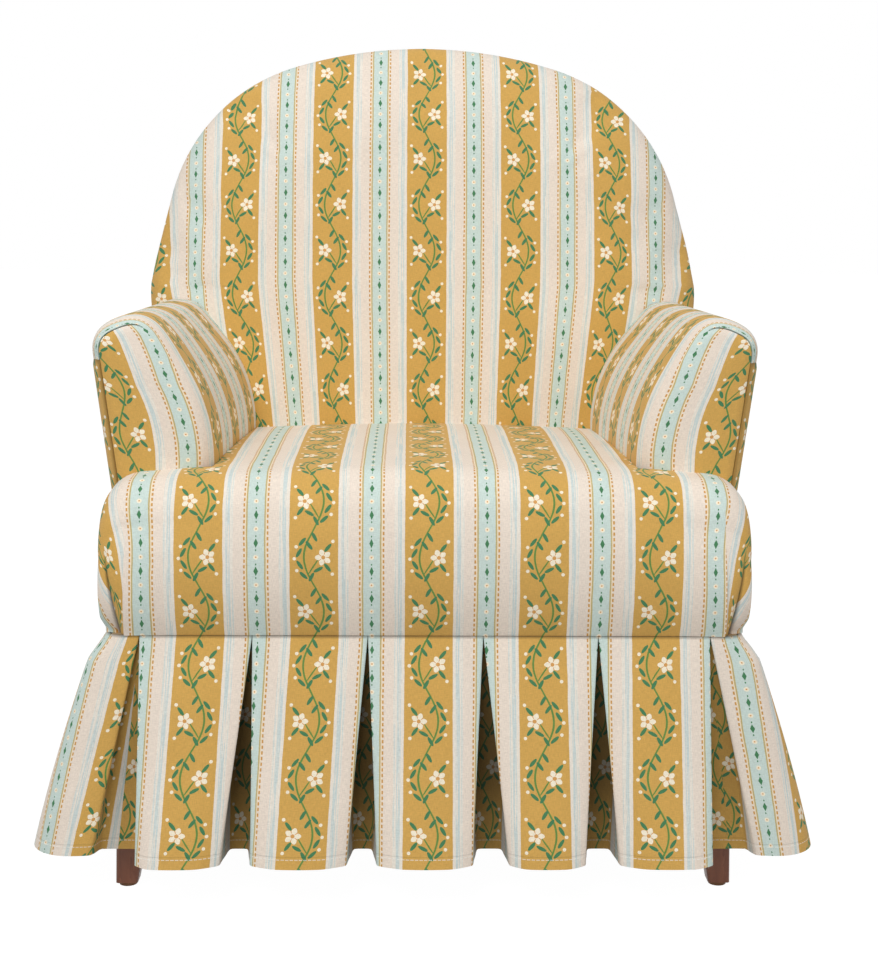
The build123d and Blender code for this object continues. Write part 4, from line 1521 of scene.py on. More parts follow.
    def panel(self, cloth: Material, hand: str) -> None:
        """Make the outside arm panel from the front seam to the back.

        Args:
            cloth: cover material.
            hand: side, in words.
        """
        under, first = self.panel_rows
        rise = np.linspace(SEAM_LEVEL + first, self.panel_top, self.levels)
        heights = np.concatenate([[SEAM_LEVEL + under], rise])
        count = len(heights)
        upper = np.asarray(ease((heights - self.panel_top + self.panel_edge) / self.panel_edge))
        tuck = self.panel_tuck * upper - self.panel_proud
        tuck[0] = -self.lip
        places, prints = [], []
        ends = self.rear_ends(np.stack([np.full(count, self.panel_out), heights], axis=1))
        steps = self.rounding()
        past = [turn for turn, _, _ in steps].index(self.seam_turn) + 1
        bends = [tuple(np.add(steps[past][1:], self.panel_start)), *[step[1:] for step in steps[past + 1 :]]]
        run = 0.0
        for k, (back, draw) in enumerate(bends):
            run += math.hypot(back - bends[k - 1][0], draw - bends[k - 1][1]) if k else 0.0
            places.append(self.outer_line(np.full(count, self.front + back), heights, draw + tuck))
            prints.append(np.stack([np.full(count, run / REPEAT - self.panel_print), heights / REPEAT], axis=1))
        start = self.front + self.round_deep
        for share in np.linspace(0.0, 1.0, 36)[1:]:
            y = start + (ends - start) * share
            places.append(self.outer_line(y, heights, tuck))
            prints.append(np.stack([(run + y - start) / REPEAT - self.panel_print, heights / REPEAT], axis=1))
        loops = np.array(places)
        loops[..., 0] *= self.side.value
        piece = add_grid(f"outside_arm_panel_{hand}", loops, np.array(prints))
        # Painted shadow lines on the panel: along the front seam, along the lip at its foot, and where it tucks
        # under the roll at the top.
        edge = np.zeros(loops.shape[:2])
        edge[:2] = ((1.0,), (0.5,))
        edge[:, 0], edge[:, -1] = 0.7, 0.8
        mark_grid(piece, "seam", loops, edge)
        if self.side is Side.RIGHT:
            flip(piece)
        thicken(piece, self.panel_thickness, 1.0)
        smooth(piece)
        finish_piece(piece, cloth, [f"outside_arm_{hand}"])

    def outer_line(self, y: Array, heights: Array, inset: Array) -> Array:
        """Points up the outer face at given depths.

        Args:
            y: depth of each point.
            heights: height of each point.
            inset: how far each is drawn in.

        Returns:
            World points of the right-hand arm.
        """
        foot_x = self.roll[0] + self.roll_radius * math.cos(self.lean)
        foot_z = self.roll[1] - self.roll_radius * math.sin(self.lean)
        x = foot_x - (foot_z - heights) * math.tan(self.lean) - inset
        return np.stack([x, y, heights], axis=1)


def flip(piece: Piece) -> None:
    """Turn every face of a sheet over.

    Args:
        piece: sheet.
    """
    with edit_mode(piece):
        bpy.ops.mesh.select_all(action="SELECT")
        bpy.ops.mesh.flip_normals()


def closed_loops(places: Array, prints: Array) -> tuple[Array, Array]:
    """Close open rings underneath with a few more columns.

    Args:
        places: points, as rings by samples by 3.
        prints: print coordinates of the same points.

    Returns:
        Points and print coordinates with the added columns.
    """
    bridge = np.linspace(0.0, 1.0, 9)[1:, None, None]
    under = places[:, -1][None] + (places[:, 0] - places[:, -1])[None] * bridge
    whole = np.concatenate([places, under.transpose(1, 0, 2)], axis=1)
    return whole, np.concatenate([prints, np.repeat(prints[:, :1], 8, axis=1)], axis=1)


def mark_grid(piece: Piece, name: str, places: Array, values: Array) -> None:
    """Mark the vertices of a new grid by their row and column.

    Args:
        piece: grid that is still in row order.
        name: name of the mark.
        places: the grid's points.
        values: one number for each point.
    """
    rows, columns = values.shape
    points = read_points(piece.data)
    want = places.reshape(-1, 3)
    if len(points) != rows * columns:
        raise ValueError(f"{piece.name} has {len(points)} points")
    if not np.allclose(points, want, atol=1e-5):
        raise ValueError(f"{piece.name} isn't in row order")
    mark(piece, name, values.reshape(-1))


# Seat


@dataclass
class Seat:
    """Tee-shaped tight seat: a deck between the arms and a front that rolls down to the skirt."""

    back: BackRest
    front: float = -0.268
    draw_in: float = 0.012
    bulge: float = 0.335
    edge_top: float = 0.420
    roll: float = 0.042
    crown: float = 0.010
    end: float = 0.316
    tip: float = 0.044
    tip_drop: float = 0.038
    ear_rear: float = -0.1933
    deck_half: float = 0.2107
    deck_taper: float = 0.0509
    deck_crown: float = 0.006
    fold: Pair = (0.2870, 0.2905)
    tuck: Pair = (0.3095, 0.2960)
    fold_top: float = 0.372
    print_shift: float = 0.003
    end_front: float = 0.4
    end_foot: float = 0.12
    end_bulge: float = 0.3
    end_narrow: float = 0.0015
    end_tuck: float = 0.004
    end_level: float = 0.288
    end_reach: float = 0.016
    roll_set: float = 0.009
    plain_half: float = 0.25
    fold_foot: float = 0.272
    fold_level: float = 0.360
    fold_reach: float = 0.088
    fold_grow: float = 0.10
    fold_swell: Pair = (0.0030, 0.016)
    layer_gap: float = 0.0006
    slit_shape: Pair = (0.0032, 0.0025)
    # Painted shadow line down the corner pleat's tuck: half width, front limit, drop below the fold's top, and
    # fade.
    slit_shadow_half: float = 0.0016
    slit_shadow_front: float = -0.22
    slit_shadow_drop: float = 0.014
    slit_shadow_fade: float = 0.03
    ear_rise: float = 0.0015
    deck_rear: float = 0.1095
    deck_start: float = 0.4245
    deck_line: Pairs = ((-0.12, 0.4274), (-0.04, 0.4285), (0.06, 0.4278), (0.15, 0.426))
    deck_mix: float = 0.07
    wrap_level: float = 0.408
    wrap_reach: float = 0.065
    side_start: float = 0.24
    side_reach: float = 0.06
    side_wrap: float = 0.006
    side_shift: float = 0.0035
    end_shift: float = 0.055
    fold_shift: Pairs = ((0.272, 0.015), (0.300, 0.016), (0.345, 0.0085), (0.40, 0.0))
    tuck_shift: Pairs = ((0.272, 0.036), (0.36, 0.0))
    free_deck: Triple = (0.205, 0.10, 0.40)
    free_front: Triple = (0.28, -0.20, 0.29)
    pressure: float = 1.4
    cap: float = 0.005
    front_rows: int = 30
    roll_rows: int = 13
    top_rows: int = 6
    deck_rows: int = 36

    def columns(self) -> tuple[Array, Array, Array]:
        """Columns of the right half: distance across, layer of the corner pleat, share along the end.

        Returns:
            Three arrays with an entry for each column.
        """
        stops = [(x, 0, 0.0) for x in np.linspace(0.0, self.deck_half, 24)]
        stops += [(x, 0, 0.0) for x in np.linspace(self.deck_half, self.fold[0], 13)[1:]]
        stops += [(x, 1, 0.0) for x in np.linspace(self.fold[0], self.tuck[0], 9)]
        shoulder = self.end - self.tip
        turn = math.asin((self.tuck[0] - shoulder) / self.tip)
        stops += [(shoulder + self.tip * math.sin(a), 2, 0.0) for a in np.linspace(turn, math.pi / 2, 9)]
        stops += [(self.end, 2, k / self.top_rows) for k in range(1, self.top_rows + 1)]
        table = np.array(stops)
        return table[:, 0], table[:, 1], table[:, 2]

    def end_draw(self, x: Array) -> Array:
        """How far the profile draws in as it rounds the end."""
        share = np.clip((x - (self.end - self.tip)) / self.tip, 0.0, 1.0)
        return self.tip_drop * (1 - np.sqrt(1 - share**2))

    def side_section(self, x: float, layer: float) -> Array:
        """Rows from the skirt seam up the front, over the roll and back to the arm, as X, Y, Z.

        Args:
            x: distance across.
            layer: layer of the corner pleat.

        Returns:
            Points of one column.
        """
        draw = float(self.end_draw(np.array(x)))
        lift = self.crown * max(0.0, 1 - (x / (self.end - self.tip)) ** 2)
        front, top = self.front + self.end_front * draw, self.edge_top + lift - draw
        low = (front + self.draw_in, SEAM_LEVEL + self.end_foot * draw)
        start = (front + self.roll_set, top - self.roll)
        z = np.linspace(low[1], start[1], self.front_rows)
        span = [(low[1], low[0]), (self.bulge - self.end_bulge * draw, front), (start[1], start[0])]
        y = np.zeros_like(z)
        for i, (zi, yi) in enumerate(span):
            term = np.full_like(z, yi)
            for j, (zj, _) in enumerate(span):
                if i != j:
                    term *= (z - zj) / (zi - zj)
            y += term
        q = np.clip((self.fold_level - z) / self.fold_reach, 0.0, 1.0)
        grow = ease((self.fold_top - z) / self.fold_grow)
        at_fold = self.fold[0] + (self.fold[1] - self.fold[0]) * q
        at_tuck = self.tuck[0] + (self.tuck[1] - self.tuck[0]) * q
        at_end = self.end - self.end_narrow * q - self.end_tuck * ease((self.end_level - z) / self.end_reach)
        rims = np.stack([np.full_like(q, self.plain_half), at_fold, at_tuck, at_end])
        knots = np.array([self.plain_half, self.fold[0], self.tuck[0], self.end])
        if x <= knots[0]:
            xs = np.full_like(z, x)
        else:
            k = min(int(np.searchsorted(knots, x)), 3)
            share = (x - knots[k - 1]) / (knots[k] - knots[k - 1])
            xs = rims[k - 1] + (rims[k] - rims[k - 1]) * share
        if layer == 0:
            swell, spread = self.fold_swell
            y -= swell * grow * np.exp(-np.clip(at_fold - xs, 0, None) / spread)
        if layer >= 1:
            deep, spread = self.slit_shape
            y += self.layer_gap * grow + deep * grow * np.exp(-np.abs(at_tuck - xs) / spread)
        angles = np.linspace(math.pi, math.pi / 2, self.roll_rows + 1)[1:]
        hub = (front + self.roll_set + self.roll, top - self.roll)
        y = np.concatenate([y, hub[0] + self.roll * np.cos(angles)])
        z = np.concatenate([z, hub[1] + self.roll * np.sin(angles)])
        share = np.linspace(0.0, 1.0, self.top_rows + 1)[1:]
        y = np.concatenate([y, y[-1] + (self.ear_rear - y[-1]) * share])
        z = np.concatenate([z, z[-1] + self.ear_rise * share])
        xs = np.concatenate([xs, np.full(self.roll_rows + self.top_rows, x)])
        return np.stack([xs, y, z], axis=1)

    def deck(self, x: float, start: Array) -> Array:
        """Rows of one column from the arm fronts to the back.

        Args:
            x: distance across at the arm fronts.
            start: point that the column goes on from.

        Returns:
            Points of one column.
        """
        share = np.linspace(0.0, 1.0, self.deck_rows + 1)[1:]
        y = self.ear_rear + (self.deck_rear - self.ear_rear) * share
        half = self.deck_half - self.deck_taper * (y - self.ear_rear)
        level = np.interp(y, *zip((self.ear_rear, self.deck_start), *self.deck_line))
        z = level + self.deck_crown * (1 - (x / self.deck_half) ** 2)
        mix = ease((y - self.ear_rear) / self.deck_mix)
        z = start[2] + (z - start[2]) * mix
        return np.stack([x / self.deck_half * half, y, z], axis=1)

    def build(self, cloth: Material) -> None:
        """Make the padded seat.

        Args:
            cloth: cover material.
        """
        across, layer, ends = self.columns()
        block = self.front_rows + self.roll_rows
        total = block + self.top_rows + self.deck_rows
        places = np.zeros((total, len(across), 3))
        prints = np.zeros((total, len(across), 2))
        keep = np.ones((total, len(across)), bool)
        wrapped = np.concatenate([[0.0], np.cumsum(np.hypot(np.diff(across), np.diff(self.end_draw(across))))])
        for c, x in enumerate(across):
            rows = self.side_section(float(x), float(layer[c]))
            if ends[c] > 0:
                side = rows[:block].copy()
                rise = np.clip((np.arange(block) - self.front_rows) / (self.roll_rows - 1), 0.0, 1.0)
                side[:, 1] += (self.ear_rear - side[:, 1]) * ends[c]
                side[:, 2] += self.ear_rise * ends[c] * (rise >= 1.0)
                rows = np.vstack([side, np.repeat(side[-1:], self.top_rows, axis=0)])
                keep[block:, c] = False
            over = self.deck(float(min(x, self.deck_half)), rows[-1])
            places[:, c] = np.vstack([rows, over])
            if x > self.deck_half + 1e-9:
                keep[block + self.top_rows :, c] = False
            travel = np.linalg.norm(np.diff(places[:, c, 1:], axis=0), axis=1)
            prints[:, c, 1] = np.concatenate([[0.0], np.cumsum(travel)]) / REPEAT
            z = places[:block, c, 2]
            low = np.ones(total) * ease((self.wrap_level - places[:, c, 2]) / self.wrap_reach)
            outer = ease((x - self.side_start) / self.side_reach)
            past = wrapped[c] - x + self.side_wrap * outer
            fabric = x - self.side_shift * outer + past * low + ends[c] * self.end_shift
            if layer[c] >= 1:
                fabric[:block] += np.interp(z, *zip(*self.fold_shift))
            if layer[c] == 2:
                fabric[:block] += np.interp(z, *zip(*self.tuck_shift))
            fabric[block + self.top_rows :] = places[block + self.top_rows :, c, 0]
            prints[:, c, 0] = fabric / REPEAT
        left, left_marks = places[:, :0:-1] * (-1, 1, 1), prints[:, :0:-1] * (-1, 1)
        places = np.concatenate([left, places], axis=1)
        prints = np.concatenate([left_marks, prints], axis=1)
        prints[..., 0] -= self.print_shift / REPEAT
        keep = np.concatenate([keep[:, :0:-1], keep], axis=1)
        piece = add_grid("seat_cushion", places, prints, keep)
        seal(piece)
        close_below(piece, SEAM_LEVEL)
        seal(piece)
        order_mesh(piece)
        points = read_points(piece.data)
        free = np.zeros(len(points), bool)
        for half, rear, level in (self.free_deck, self.free_front):
            free |= (np.abs(points[:, 0]) < half) & (points[:, 1] < rear) & (points[:, 2] > level)
        # Painted shadow: a thin dark line down the corner pleat's tuck, low on the seat's front, kept as the seam
        # mark.
        slit_shadow = np.interp(points[:, 2], [self.fold_foot, self.fold_level], [self.tuck[1], self.tuck[0]])
        slit_shadow = np.clip(1.1 - np.abs(np.abs(points[:, 0]) - slit_shadow) / self.slit_shadow_half, 0.0, 1.0)
        fade = np.asarray(ease((self.fold_top - self.slit_shadow_drop - points[:, 2]) / self.slit_shadow_fade))
        slit_shadow = slit_shadow * (points[:, 1] < self.slit_shadow_front) * fade
        settle(piece, ~free, self.pressure, self.cap)
        mark(piece, "seam", slit_shadow)
        smooth(piece)
        finish_piece(piece, cloth, ["seat_foam", "seat_cover"])


# Skirt


@dataclass
class Skirt:
    """Box pleated skirt in four strips that meet inside the corner pleats."""

    top: float = 0.270
    hem: float = 0.053
    seam_side: float = 0.3092
    seam_front: float = -0.2562
    seam_rear: float = 0.2162
    hem_side: float = 0.3875
    hem_front: float = -0.2992
    hem_rear: float = 0.2592
    end_top: float = 0.276
    fold: float = 0.024
    layer: float = 0.0024
    depth: float = 0.0445
    bow: float = 0.008
    setback: float = 0.027
    corner_fold: float = 0.011
    corner_top: float = 0.020
    corner_hem: float = 0.040
    thickness: float = 0.0016
    pitch: float = 0.1116
    side_top: tuple[float, ...] = (-0.173, -0.066, 0.041, 0.148)
    side_hem: tuple[float, ...] = (-0.186, -0.072, 0.042, 0.156)
    front_mouths: Pairs = (
        (-0.302, 0.0235),
        (-0.183, 0.015),
        (-0.061, 0.015),
        (0.064, 0.018),
        (0.172, 0.017),
        (0.302, 0.0235),
    )
    rows: int = 28
    gold_top: tuple[float, ...] = (-0.217, -0.107, 0.003, 0.113, 0.223)
    gold_hem: tuple[float, ...] = (-0.2299, -0.1193, 0.0024, 0.1169, 0.2246)
    left_start: Pair = (0.82, 0.68)
    front_start: Pair = (-6.0, -6.0)
    side_mouth: float = 0.019
    fold_points: int = 6
    recess_points: int = 4
    corner_recess_shade: float = 0.45
    sewn_gap: float = 0.0008
    hem_steps: tuple[Triple, ...] = (
        (-0.009, 1.0, 0.002),
        (-0.005, 1.0, 0.0),
        (-0.003, 0.62, 0.0),
        (-0.001, 0.36, 0.0),
        (0.0, 0.0, 0.005),
        (0.002, 0.0, 0.0015),
    )
    fullness: float = 0.010
    spring_top: float = 0.14
    spring_fall: float = 2.5
    seam_rows: tuple[float, ...] = (0.0, 0.006, 0.014)
    # Painted shadow under the seat's overhang, at each of the seam rows.
    seam_shadow_levels: tuple[float, ...] = (0.85, 0.55, 0.0)
    first_row: float = 0.045
    # Painted recess shade: its share at the hem, and the height over which it grows to full.
    hem_recess_shade: float = 0.60
    recess_shade_fade: float = 0.09
    crease: float = 75.0

    def trace(
        self,
        stops: Sequence[Pair],
        ways: Sequence[tuple[int, int]],
        folds: Sequence[Sequence[Pair]],
        bow: float,
        corner: float,
    ) -> tuple[Array, list[int]]:
        """Path of a strip at one level.

        Args:
            stops: pleat centres along the strip.
            ways: direction of travel at each pleat.
            folds: half outline of each pleat, as distance along and depth.
            bow: how far a panel stands out between pleats.
            corner: radius where a strip turns a corner.

        Returns:
            Points of the path, and where each pleat's centre is among them.
        """
        path: list[Pair] = []
        centres: list[int] = []
        last = len(stops) - 1
        for k, ((x, y), (tx, ty)) in enumerate(zip(stops, ways)):
            ox, oy = ty, -tx
            fold = folds[k]
            before = [(x - a * tx - d * ox, y - a * ty - d * oy) for a, d in reversed(fold)]
            after = [(x + a * tx - d * ox, y + a * ty - d * oy) for a, d in fold]
            floor = fold[0][1]
            path += before if k else []
            centres.append(len(path))
            path.append((x - floor * ox, y - floor * oy))
            if k == last:
                break
            path += after
            (nx, ny), (ux, uy) = stops[k + 1], ways[k + 1]
            if (ux, uy) == (tx, ty):
                for share in (0.3, 0.4, 0.5, 0.6, 0.7):
                    lift = bow * (1 - (2 * share - 1) ** 2)
                    path.append((x + share * (nx - x) + lift * ox, y + share * (ny - y) + lift * oy))
            else:
                vertex = (nx, y) if tx else (x, ny)
                hub = (vertex[0] + corner * (ux - tx), vertex[1] + corner * (uy - ty))
                for step in range(7):
                    turn = math.radians(15.0 * step)
                    path.append(
                        (
                            hub[0] + corner * (ox * math.cos(turn) + tx * math.sin(turn)),
                            hub[1] + corner * (oy * math.cos(turn) + ty * math.sin(turn)),
                        )
                    )
        return np.array(path), centres

    def printed(self, path: Array, centres: list[int], first: float, golds: Sequence[float]) -> Array:
        """Print coordinate along a path: two repeats from one pleat's centre to the next.

        Args:
            path: points of the path.
            centres: where the pleats' centres are among them.
            first: print coordinate at the first centre.
            golds: X of the gold stripe on each panel; where given, panels keep the true scale.

        Returns:
            One coordinate for each point.
        """
        length = np.concatenate([[0.0], np.cumsum(np.linalg.norm(np.diff(path, axis=0), axis=1))])
        knots, marks = [0.0], [first]
        for k, gold in enumerate(golds):
            for end in (centres[k] + self.fold_points, centres[k + 1] - self.fold_points):
                knots.append(length[end])
                marks.append(first + 2.0 * k + 1.0 + (path[end, 0] - gold) / REPEAT)
        if not golds:
            knots, marks = list(length[centres]), [first + 2.0 * k for k in range(len(centres))]
        else:
            knots.append(length[-1])
            marks.append(first + 2.0 * len(golds))
        return np.interp(length, knots, marks)

    @staticmethod
    def rounded(points: Array, times: int = 3) -> Array:
        """Cut the corners of a path a few times, keeping its ends.

        Args:
            points: path, with any further columns.
            times: rounds of cutting.

        Returns:
            The smoother path.
        """
        for _ in range(times):
            near = points[:-1] * 0.75 + points[1:] * 0.25
            far = points[:-1] * 0.25 + points[1:] * 0.75
            inner = np.stack([near, far], axis=1).reshape(-1, points.shape[1])
            points = np.vstack([points[:1], inner[1:-1], points[-1:]])
        return points

    def seam_fold(self, fold: float) -> list[Pair]:
        """Half outline of a pleat where it is sewn shut.

        Args:
            fold: how far the fold reaches along the seam.

        Returns:
            Points from the pleat's centre outwards.
        """
        thin = self.layer
        inner = [(fold * 0.5, 2 * thin), (fold, 2 * thin), (fold, thin), (fold * 0.5, thin)]
        return [*inner, (self.sewn_gap, thin), (self.sewn_gap, 0.0)]

    def hem_fold(self, mouth: float, deep: float) -> list[Pair]:
        """Half outline of a pleat where it hangs open.

        Args:
            mouth: half width of the opening.
            deep: depth of the recess.

        Returns:
            Points from the pleat's centre outwards.
        """
        return [(mouth + out, deep * share + past) for out, share, past in self.hem_steps]

    def strip(self, run: Run) -> tuple[Array, Array]:
        """Seam and hem paths of one strip, with the print coordinate and the painted shade of the pleat recesses
        as further columns.

        Args:
            run: which strip.

        Returns:
            The seam's path and the hem's path.
        """
        if run in (Run.FRONT, Run.REAR):
            way = 1 if run is Run.FRONT else -1
            seam_y, hem_y = (self.seam_front, self.hem_front) if way > 0 else (self.seam_rear, self.hem_rear)
            across = [-self.end_top, *[self.pitch * k for k in (-1.5, -0.5, 0.5, 1.5)], self.end_top]
            seam = [(x * way, seam_y) for x in across]
            edge = [(x * way, hem_y) for x, _ in self.front_mouths]
            mouths = [half for _, half in self.front_mouths]
            ways = [(way, 0)] * len(seam)
            deep = [self.depth] * len(seam)
        else:
            last = self.front_mouths[-1]
            seam = [(self.end_top, self.seam_front), *[(self.seam_side, y) for y in self.side_top]]
            seam.append((self.end_top, self.seam_rear))
            edge = [(last[0], self.hem_front + self.setback), *[(self.hem_side, y) for y in self.side_hem]]
            edge.append((last[0], self.hem_rear - self.setback))
            mouths = [last[1], *[self.side_mouth] * len(self.side_hem), last[1]]
            ways = [(1, 0), *[(0, 1)] * len(self.side_top), (-1, 0)]
            deep = [self.depth] * len(seam)
            deep[0] = deep[-1] = self.depth - self.setback
        sewn = [self.fold] * len(seam)
        sewn[0] = sewn[-1] = self.corner_fold
        upper, centres = self.trace(seam, ways, [self.seam_fold(wide) for wide in sewn], 0.0, self.corner_top)
        folds = [self.hem_fold(half, depth) for half, depth in zip(mouths, deep)]
        lower, _ = self.trace(edge, ways, folds, self.bow, self.corner_hem)
        # Painted shade inside each pleat's recess, lighter at the corner pleats.
        inside = np.zeros(len(lower))
        for centre in centres:
            recess = slice(max(0, centre - self.recess_points), centre + self.recess_points + 1)
            inside[recess] = 1.0 if 0 < centre < centres[-1] else self.corner_recess_shade
        starts = {Run.FRONT: self.front_start, Run.LEFT: self.left_start}.get(run, (0.0, 0.0))
        golds = (self.gold_top, self.gold_hem) if run is Run.FRONT else ((), ())
        upper = np.column_stack([upper, self.printed(upper, centres, starts[0], golds[0]), inside])
        lower = np.column_stack([lower, self.printed(lower, centres, starts[1], golds[1]), inside])
        return self.rounded(upper), self.rounded(lower)

    def spring(self, share: Array, x: Array) -> Array:
        """How far the fullness of a side strip pushes it out between seam and hem.

        Args:
            share: place of each row, from 0 at the seam to 1 at the hem.
            x: X of the hem below each column.

        Returns:
            Offsets in X, as rows by columns.
        """
        reach = np.asarray(ease(share / self.spring_top)) * (1 - share**self.spring_fall)
        start = sum(self.front_mouths[-1])
        weight = np.asarray(ease((np.abs(x) - start) / (self.hem_side - start)))
        return self.fullness * reach[:, None] * (weight * np.sign(x))[None]

    def build(self, cloth: Material) -> None:
        """Make the four strips.

        Args:
            cloth: skirt material.
        """
        for run in Run:
            upper, lower = self.strip(run)
            if run is Run.LEFT:
                upper, lower = upper * (-1, 1, -1, 1), lower * (-1, 1, -1, 1)
            below = np.linspace(self.first_row, 1.0, self.rows - len(self.seam_rows))
            share = np.concatenate([self.seam_rows, below])
            flat = upper[None] + (lower - upper)[None] * share[:, None, None]
            if run in (Run.LEFT, Run.RIGHT):
                flat[..., 0] += self.spring(share, lower[:, 0])
            z = self.top + (self.hem - self.top) * share
            places = np.concatenate(
                [flat[..., :2], np.broadcast_to(z[:, None, None], (*flat.shape[:2], 1))], axis=2
            )
            slant = np.linalg.norm(places[-1] - places[0], axis=1).mean()
            drop = np.broadcast_to(-share[:, None] * slant / REPEAT, flat.shape[:2])
            piece = add_grid(f"skirt_{run.value}_strip", places, np.stack([flat[..., 2], drop], axis=-1))
            above_hem = np.broadcast_to((1 - share[:, None]) * slant, flat.shape[:2])
            mark_grid(piece, "hem", places, above_hem)
            # Painted recess shade, lighter near the hem where the pleats open.
            recess_shade_by_height = self.hem_recess_shade + (1 - self.hem_recess_shade) * np.asarray(ease(above_hem / self.recess_shade_fade))
            mark_grid(piece, "tuck", places, flat[..., 3] * recess_shade_by_height)
            # Painted shadow under the seat's overhang, across the top rows of the skirt.
            sewn = np.interp(share, self.seam_rows, self.seam_shadow_levels)
            mark_grid(piece, "seam", places, np.broadcast_to(sewn[:, None], flat.shape[:2]))
            thicken(piece, self.thickness, 0.0)
            smooth(piece, self.crease)
            finish_piece(piece, cloth, [f"skirt_{run.value}"])


# Frame and studio


@dataclass
class Underframe:
    """CAD pieces that stay: legs, rails, hardware, springs and under-cover cloths."""

    leg: Timber = Timber("stained_leg", ink(150, 92, 62), ink(112, 62, 40), (60.0, 60.0, 6.0), 0.42)
    rail: Timber = Timber("frame_hardwood", ink(206, 172, 124), ink(172, 132, 88), (9.0, 60.0, 60.0), 0.7)
    board: Timber = Timber("grey_board", ink(176, 156, 126), ink(150, 130, 102), (80.0, 80.0, 80.0), 0.9)
    jute: Woven = Woven("jute_webbing", ink(176, 146, 104), ink(120, 92, 60), 0.0030)
    felt: Woven = Woven("needled_felt", ink(150, 146, 138), ink(96, 92, 88), 0.0016)
    cambric: Woven = Woven("black_cambric", ink(44, 44, 45), ink(18, 18, 19), 0.0010)
    steel: PlatedSteel = PlatedSteel()
    bronzed: PlatedSteel = PlatedSteel("bronzed_steel", ink(104, 76, 56), ink(70, 50, 38))

    def dress(self) -> None:
        """Give every CAD node that stays its material."""
        finishes = {
            "leg_wood": self.leg.material(),
            "frame_wood": self.rail.material(),
            "board": self.board.material(),
            "webbing": self.jute.material(),
            "felt": self.felt.material(),
            "dust_cloth": self.cambric.material(),
            "steel": self.steel.material(),
            "glide": self.bronzed.material(),
        }
        for name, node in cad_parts.items():
            if node.hide_render:
                continue
            slot = slot_of(name)
            if slot in finishes:
                node.data.materials.clear()
                node.data.materials.append(finishes[slot])
                LOG.info("%s: %s", name, slot)


def slot_of(name: str) -> str:
    """Material slot of a CAD node, by what it is.

    Args:
        name: name of the node.

    Returns:
        Name of the slot.
    """
    words = {
        "leg_wood": ("leg_front", "leg_rear"),
        "glide": ("glides",),
        "steel": ("screws", "bolts", "tee_nuts", "springs", "clips"),
        "board": ("liner", "tack_strip"),
        "webbing": ("webbing",),
        "felt": ("insulator",),
        "dust_cloth": ("dust_cover",),
    }
    for slot, keys in words.items():
        if any(key in name for key in keys):
            return slot
    return "frame_wood"


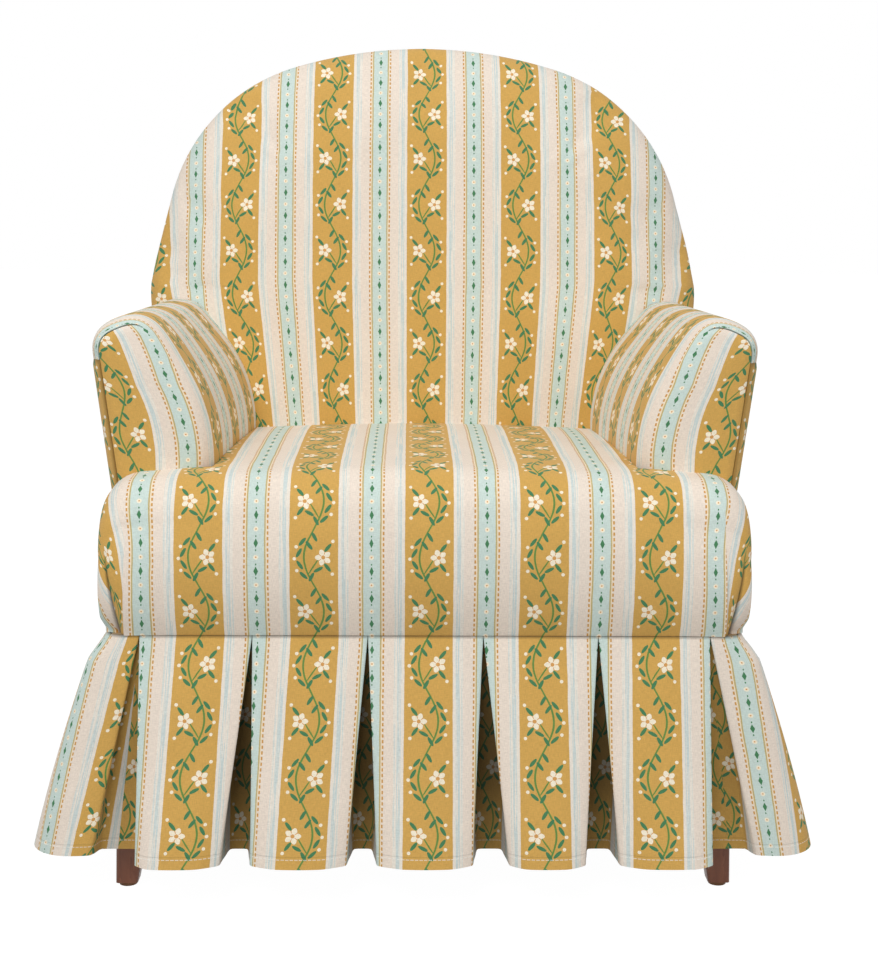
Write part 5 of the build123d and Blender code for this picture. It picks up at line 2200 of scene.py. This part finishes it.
@dataclass
class Studio:
    """White floor and surround, soft lamps and the camera."""

    eye: Triple = (-0.0175, -1.785, 0.666)
    pitch: float = math.radians(9.0)
    yaw: float = math.radians(-1.1)
    roll: float = math.radians(0.4)
    lens: float = 66.67
    ambient: float = 0.46
    key: float = 66.0
    fill: float = 12.0
    sensor: float = 36.0
    floor_size: float = 40.0
    floor_tone: float = 0.47
    floor_glow: float = 1.23
    floor_share: float = 0.80

    def build(self) -> None:
        """Set the stage."""
        self.surround()
        self.floor()
        self.lamp("key_lamp", (-0.9, -2.2, 2.9), (0.0, 0.0, 0.40), 1.8, self.key)
        self.lamp("fill_lamp", (2.1, -2.0, 1.5), (0.0, 0.0, 0.45), 2.2, self.fill)
        turn = Matrix.Rotation(self.yaw, 3, "Z") @ Matrix.Rotation(math.pi / 2 - self.pitch, 3, "X")
        turn = turn @ Matrix.Rotation(self.roll, 3, "Z")
        bpy.ops.object.camera_add(location=self.eye, rotation=turn.to_euler())
        camera = bpy.context.active_object
        camera.name = "photo_camera"
        camera.data.sensor_fit = "HORIZONTAL"
        camera.data.sensor_width = self.sensor
        camera.data.lens = self.lens
        bpy.context.scene.camera = camera
        bpy.context.scene.view_settings.view_transform = "Standard"

    def lamp(self, name: str, spot: Triple, aim: Triple, size: float, power: float) -> None:
        """Square soft lamp that points at the chair.

        Args:
            name: its name.
            spot: where it hangs.
            aim: point that it faces.
            size: side of its square.
            power: its watts.
        """
        bpy.ops.object.light_add(type="AREA", location=spot)
        lamp = bpy.context.active_object
        lamp.name = name
        lamp.data.energy = power
        lamp.data.size = size
        away = np.array(spot) - np.array(aim)
        lamp.rotation_euler = (
            math.atan2(math.hypot(away[0], away[1]), away[2]),
            0.0,
            math.atan2(away[0], -away[1]),
        )

    def seen(self, g: Graph) -> Socket:
        """Mask of the rays that show the surround itself."""
        path = g.add("ShaderNodeLightPath")
        return g.any_of([path.outputs[key] for key in ("Is Camera Ray", "Is Glossy Ray", "Is Transmission Ray")])

    def blend(
        self, g: Graph, share: Value, under: bpy.types.Node, over: bpy.types.Node, out: bpy.types.Node
    ) -> None:
        """Mix two shaders into an output.

        Args:
            g: graph of the material or world.
            share: share of the second shader.
            under: first shader.
            over: second shader.
            out: output node.
        """
        both = g.add("ShaderNodeMixShader")
        for socket, value in zip(both.inputs, (share, under.outputs[0], over.outputs[0])):
            g.feed(socket, value)
        g.feed(out.inputs[0], both.outputs[0])

    def surround(self) -> None:
        """White surround that lights the chair at a plain level."""
        world = bpy.data.worlds.new("white_surround")
        world.use_nodes = True
        bpy.context.scene.world = world
        g = Graph(world.node_tree)
        world.node_tree.nodes.clear()
        out = g.add("ShaderNodeOutputWorld")
        plain, bright = g.add("ShaderNodeBackground"), g.add("ShaderNodeBackground")
        plain.inputs["Color"].default_value = bright.inputs["Color"].default_value = (1.0, 1.0, 1.0, 1.0)
        plain.inputs["Strength"].default_value = self.ambient
        bright.inputs["Strength"].default_value = 1.0
        self.blend(g, self.seen(g), plain, bright, out)

    def floor(self) -> None:
        """Pale floor that keeps the chair's shadow."""
        bpy.ops.object.select_all(action="DESELECT")
        bpy.ops.mesh.primitive_plane_add(size=self.floor_size, location=(0.0, 0.0, 0.0))
        plane = bpy.context.active_object
        plane.name = "studio_floor"
        made, g, _ = new_material("studio_white")
        made.node_tree.nodes.clear()
        out = g.add("ShaderNodeOutputMaterial")
        matt, glow = g.add("ShaderNodeBsdfDiffuse"), g.add("ShaderNodeEmission")
        matt.inputs["Color"].default_value = (*[self.floor_tone] * 3, 1.0)
        glow.inputs["Strength"].default_value = self.floor_glow
        self.blend(g, g.math("MULTIPLY", self.seen(g), self.floor_share), matt, glow, out)
        plane.data.materials.append(made)


def main() -> None:
    """Build the chair's soft pieces, dress its frame and set the studio."""
    logging.basicConfig(level=logging.INFO, format="%(message)s")
    cloth = PrintedCotton().material()
    back = BackRest()
    back.build(cloth)
    for side in Side:
        Arm(side, back).build(cloth)
    Seat(back).build(cloth)
    Skirt().build(cloth)
    Underframe().dress()
    Studio().build()


if __name__ == "__main__":
    main()
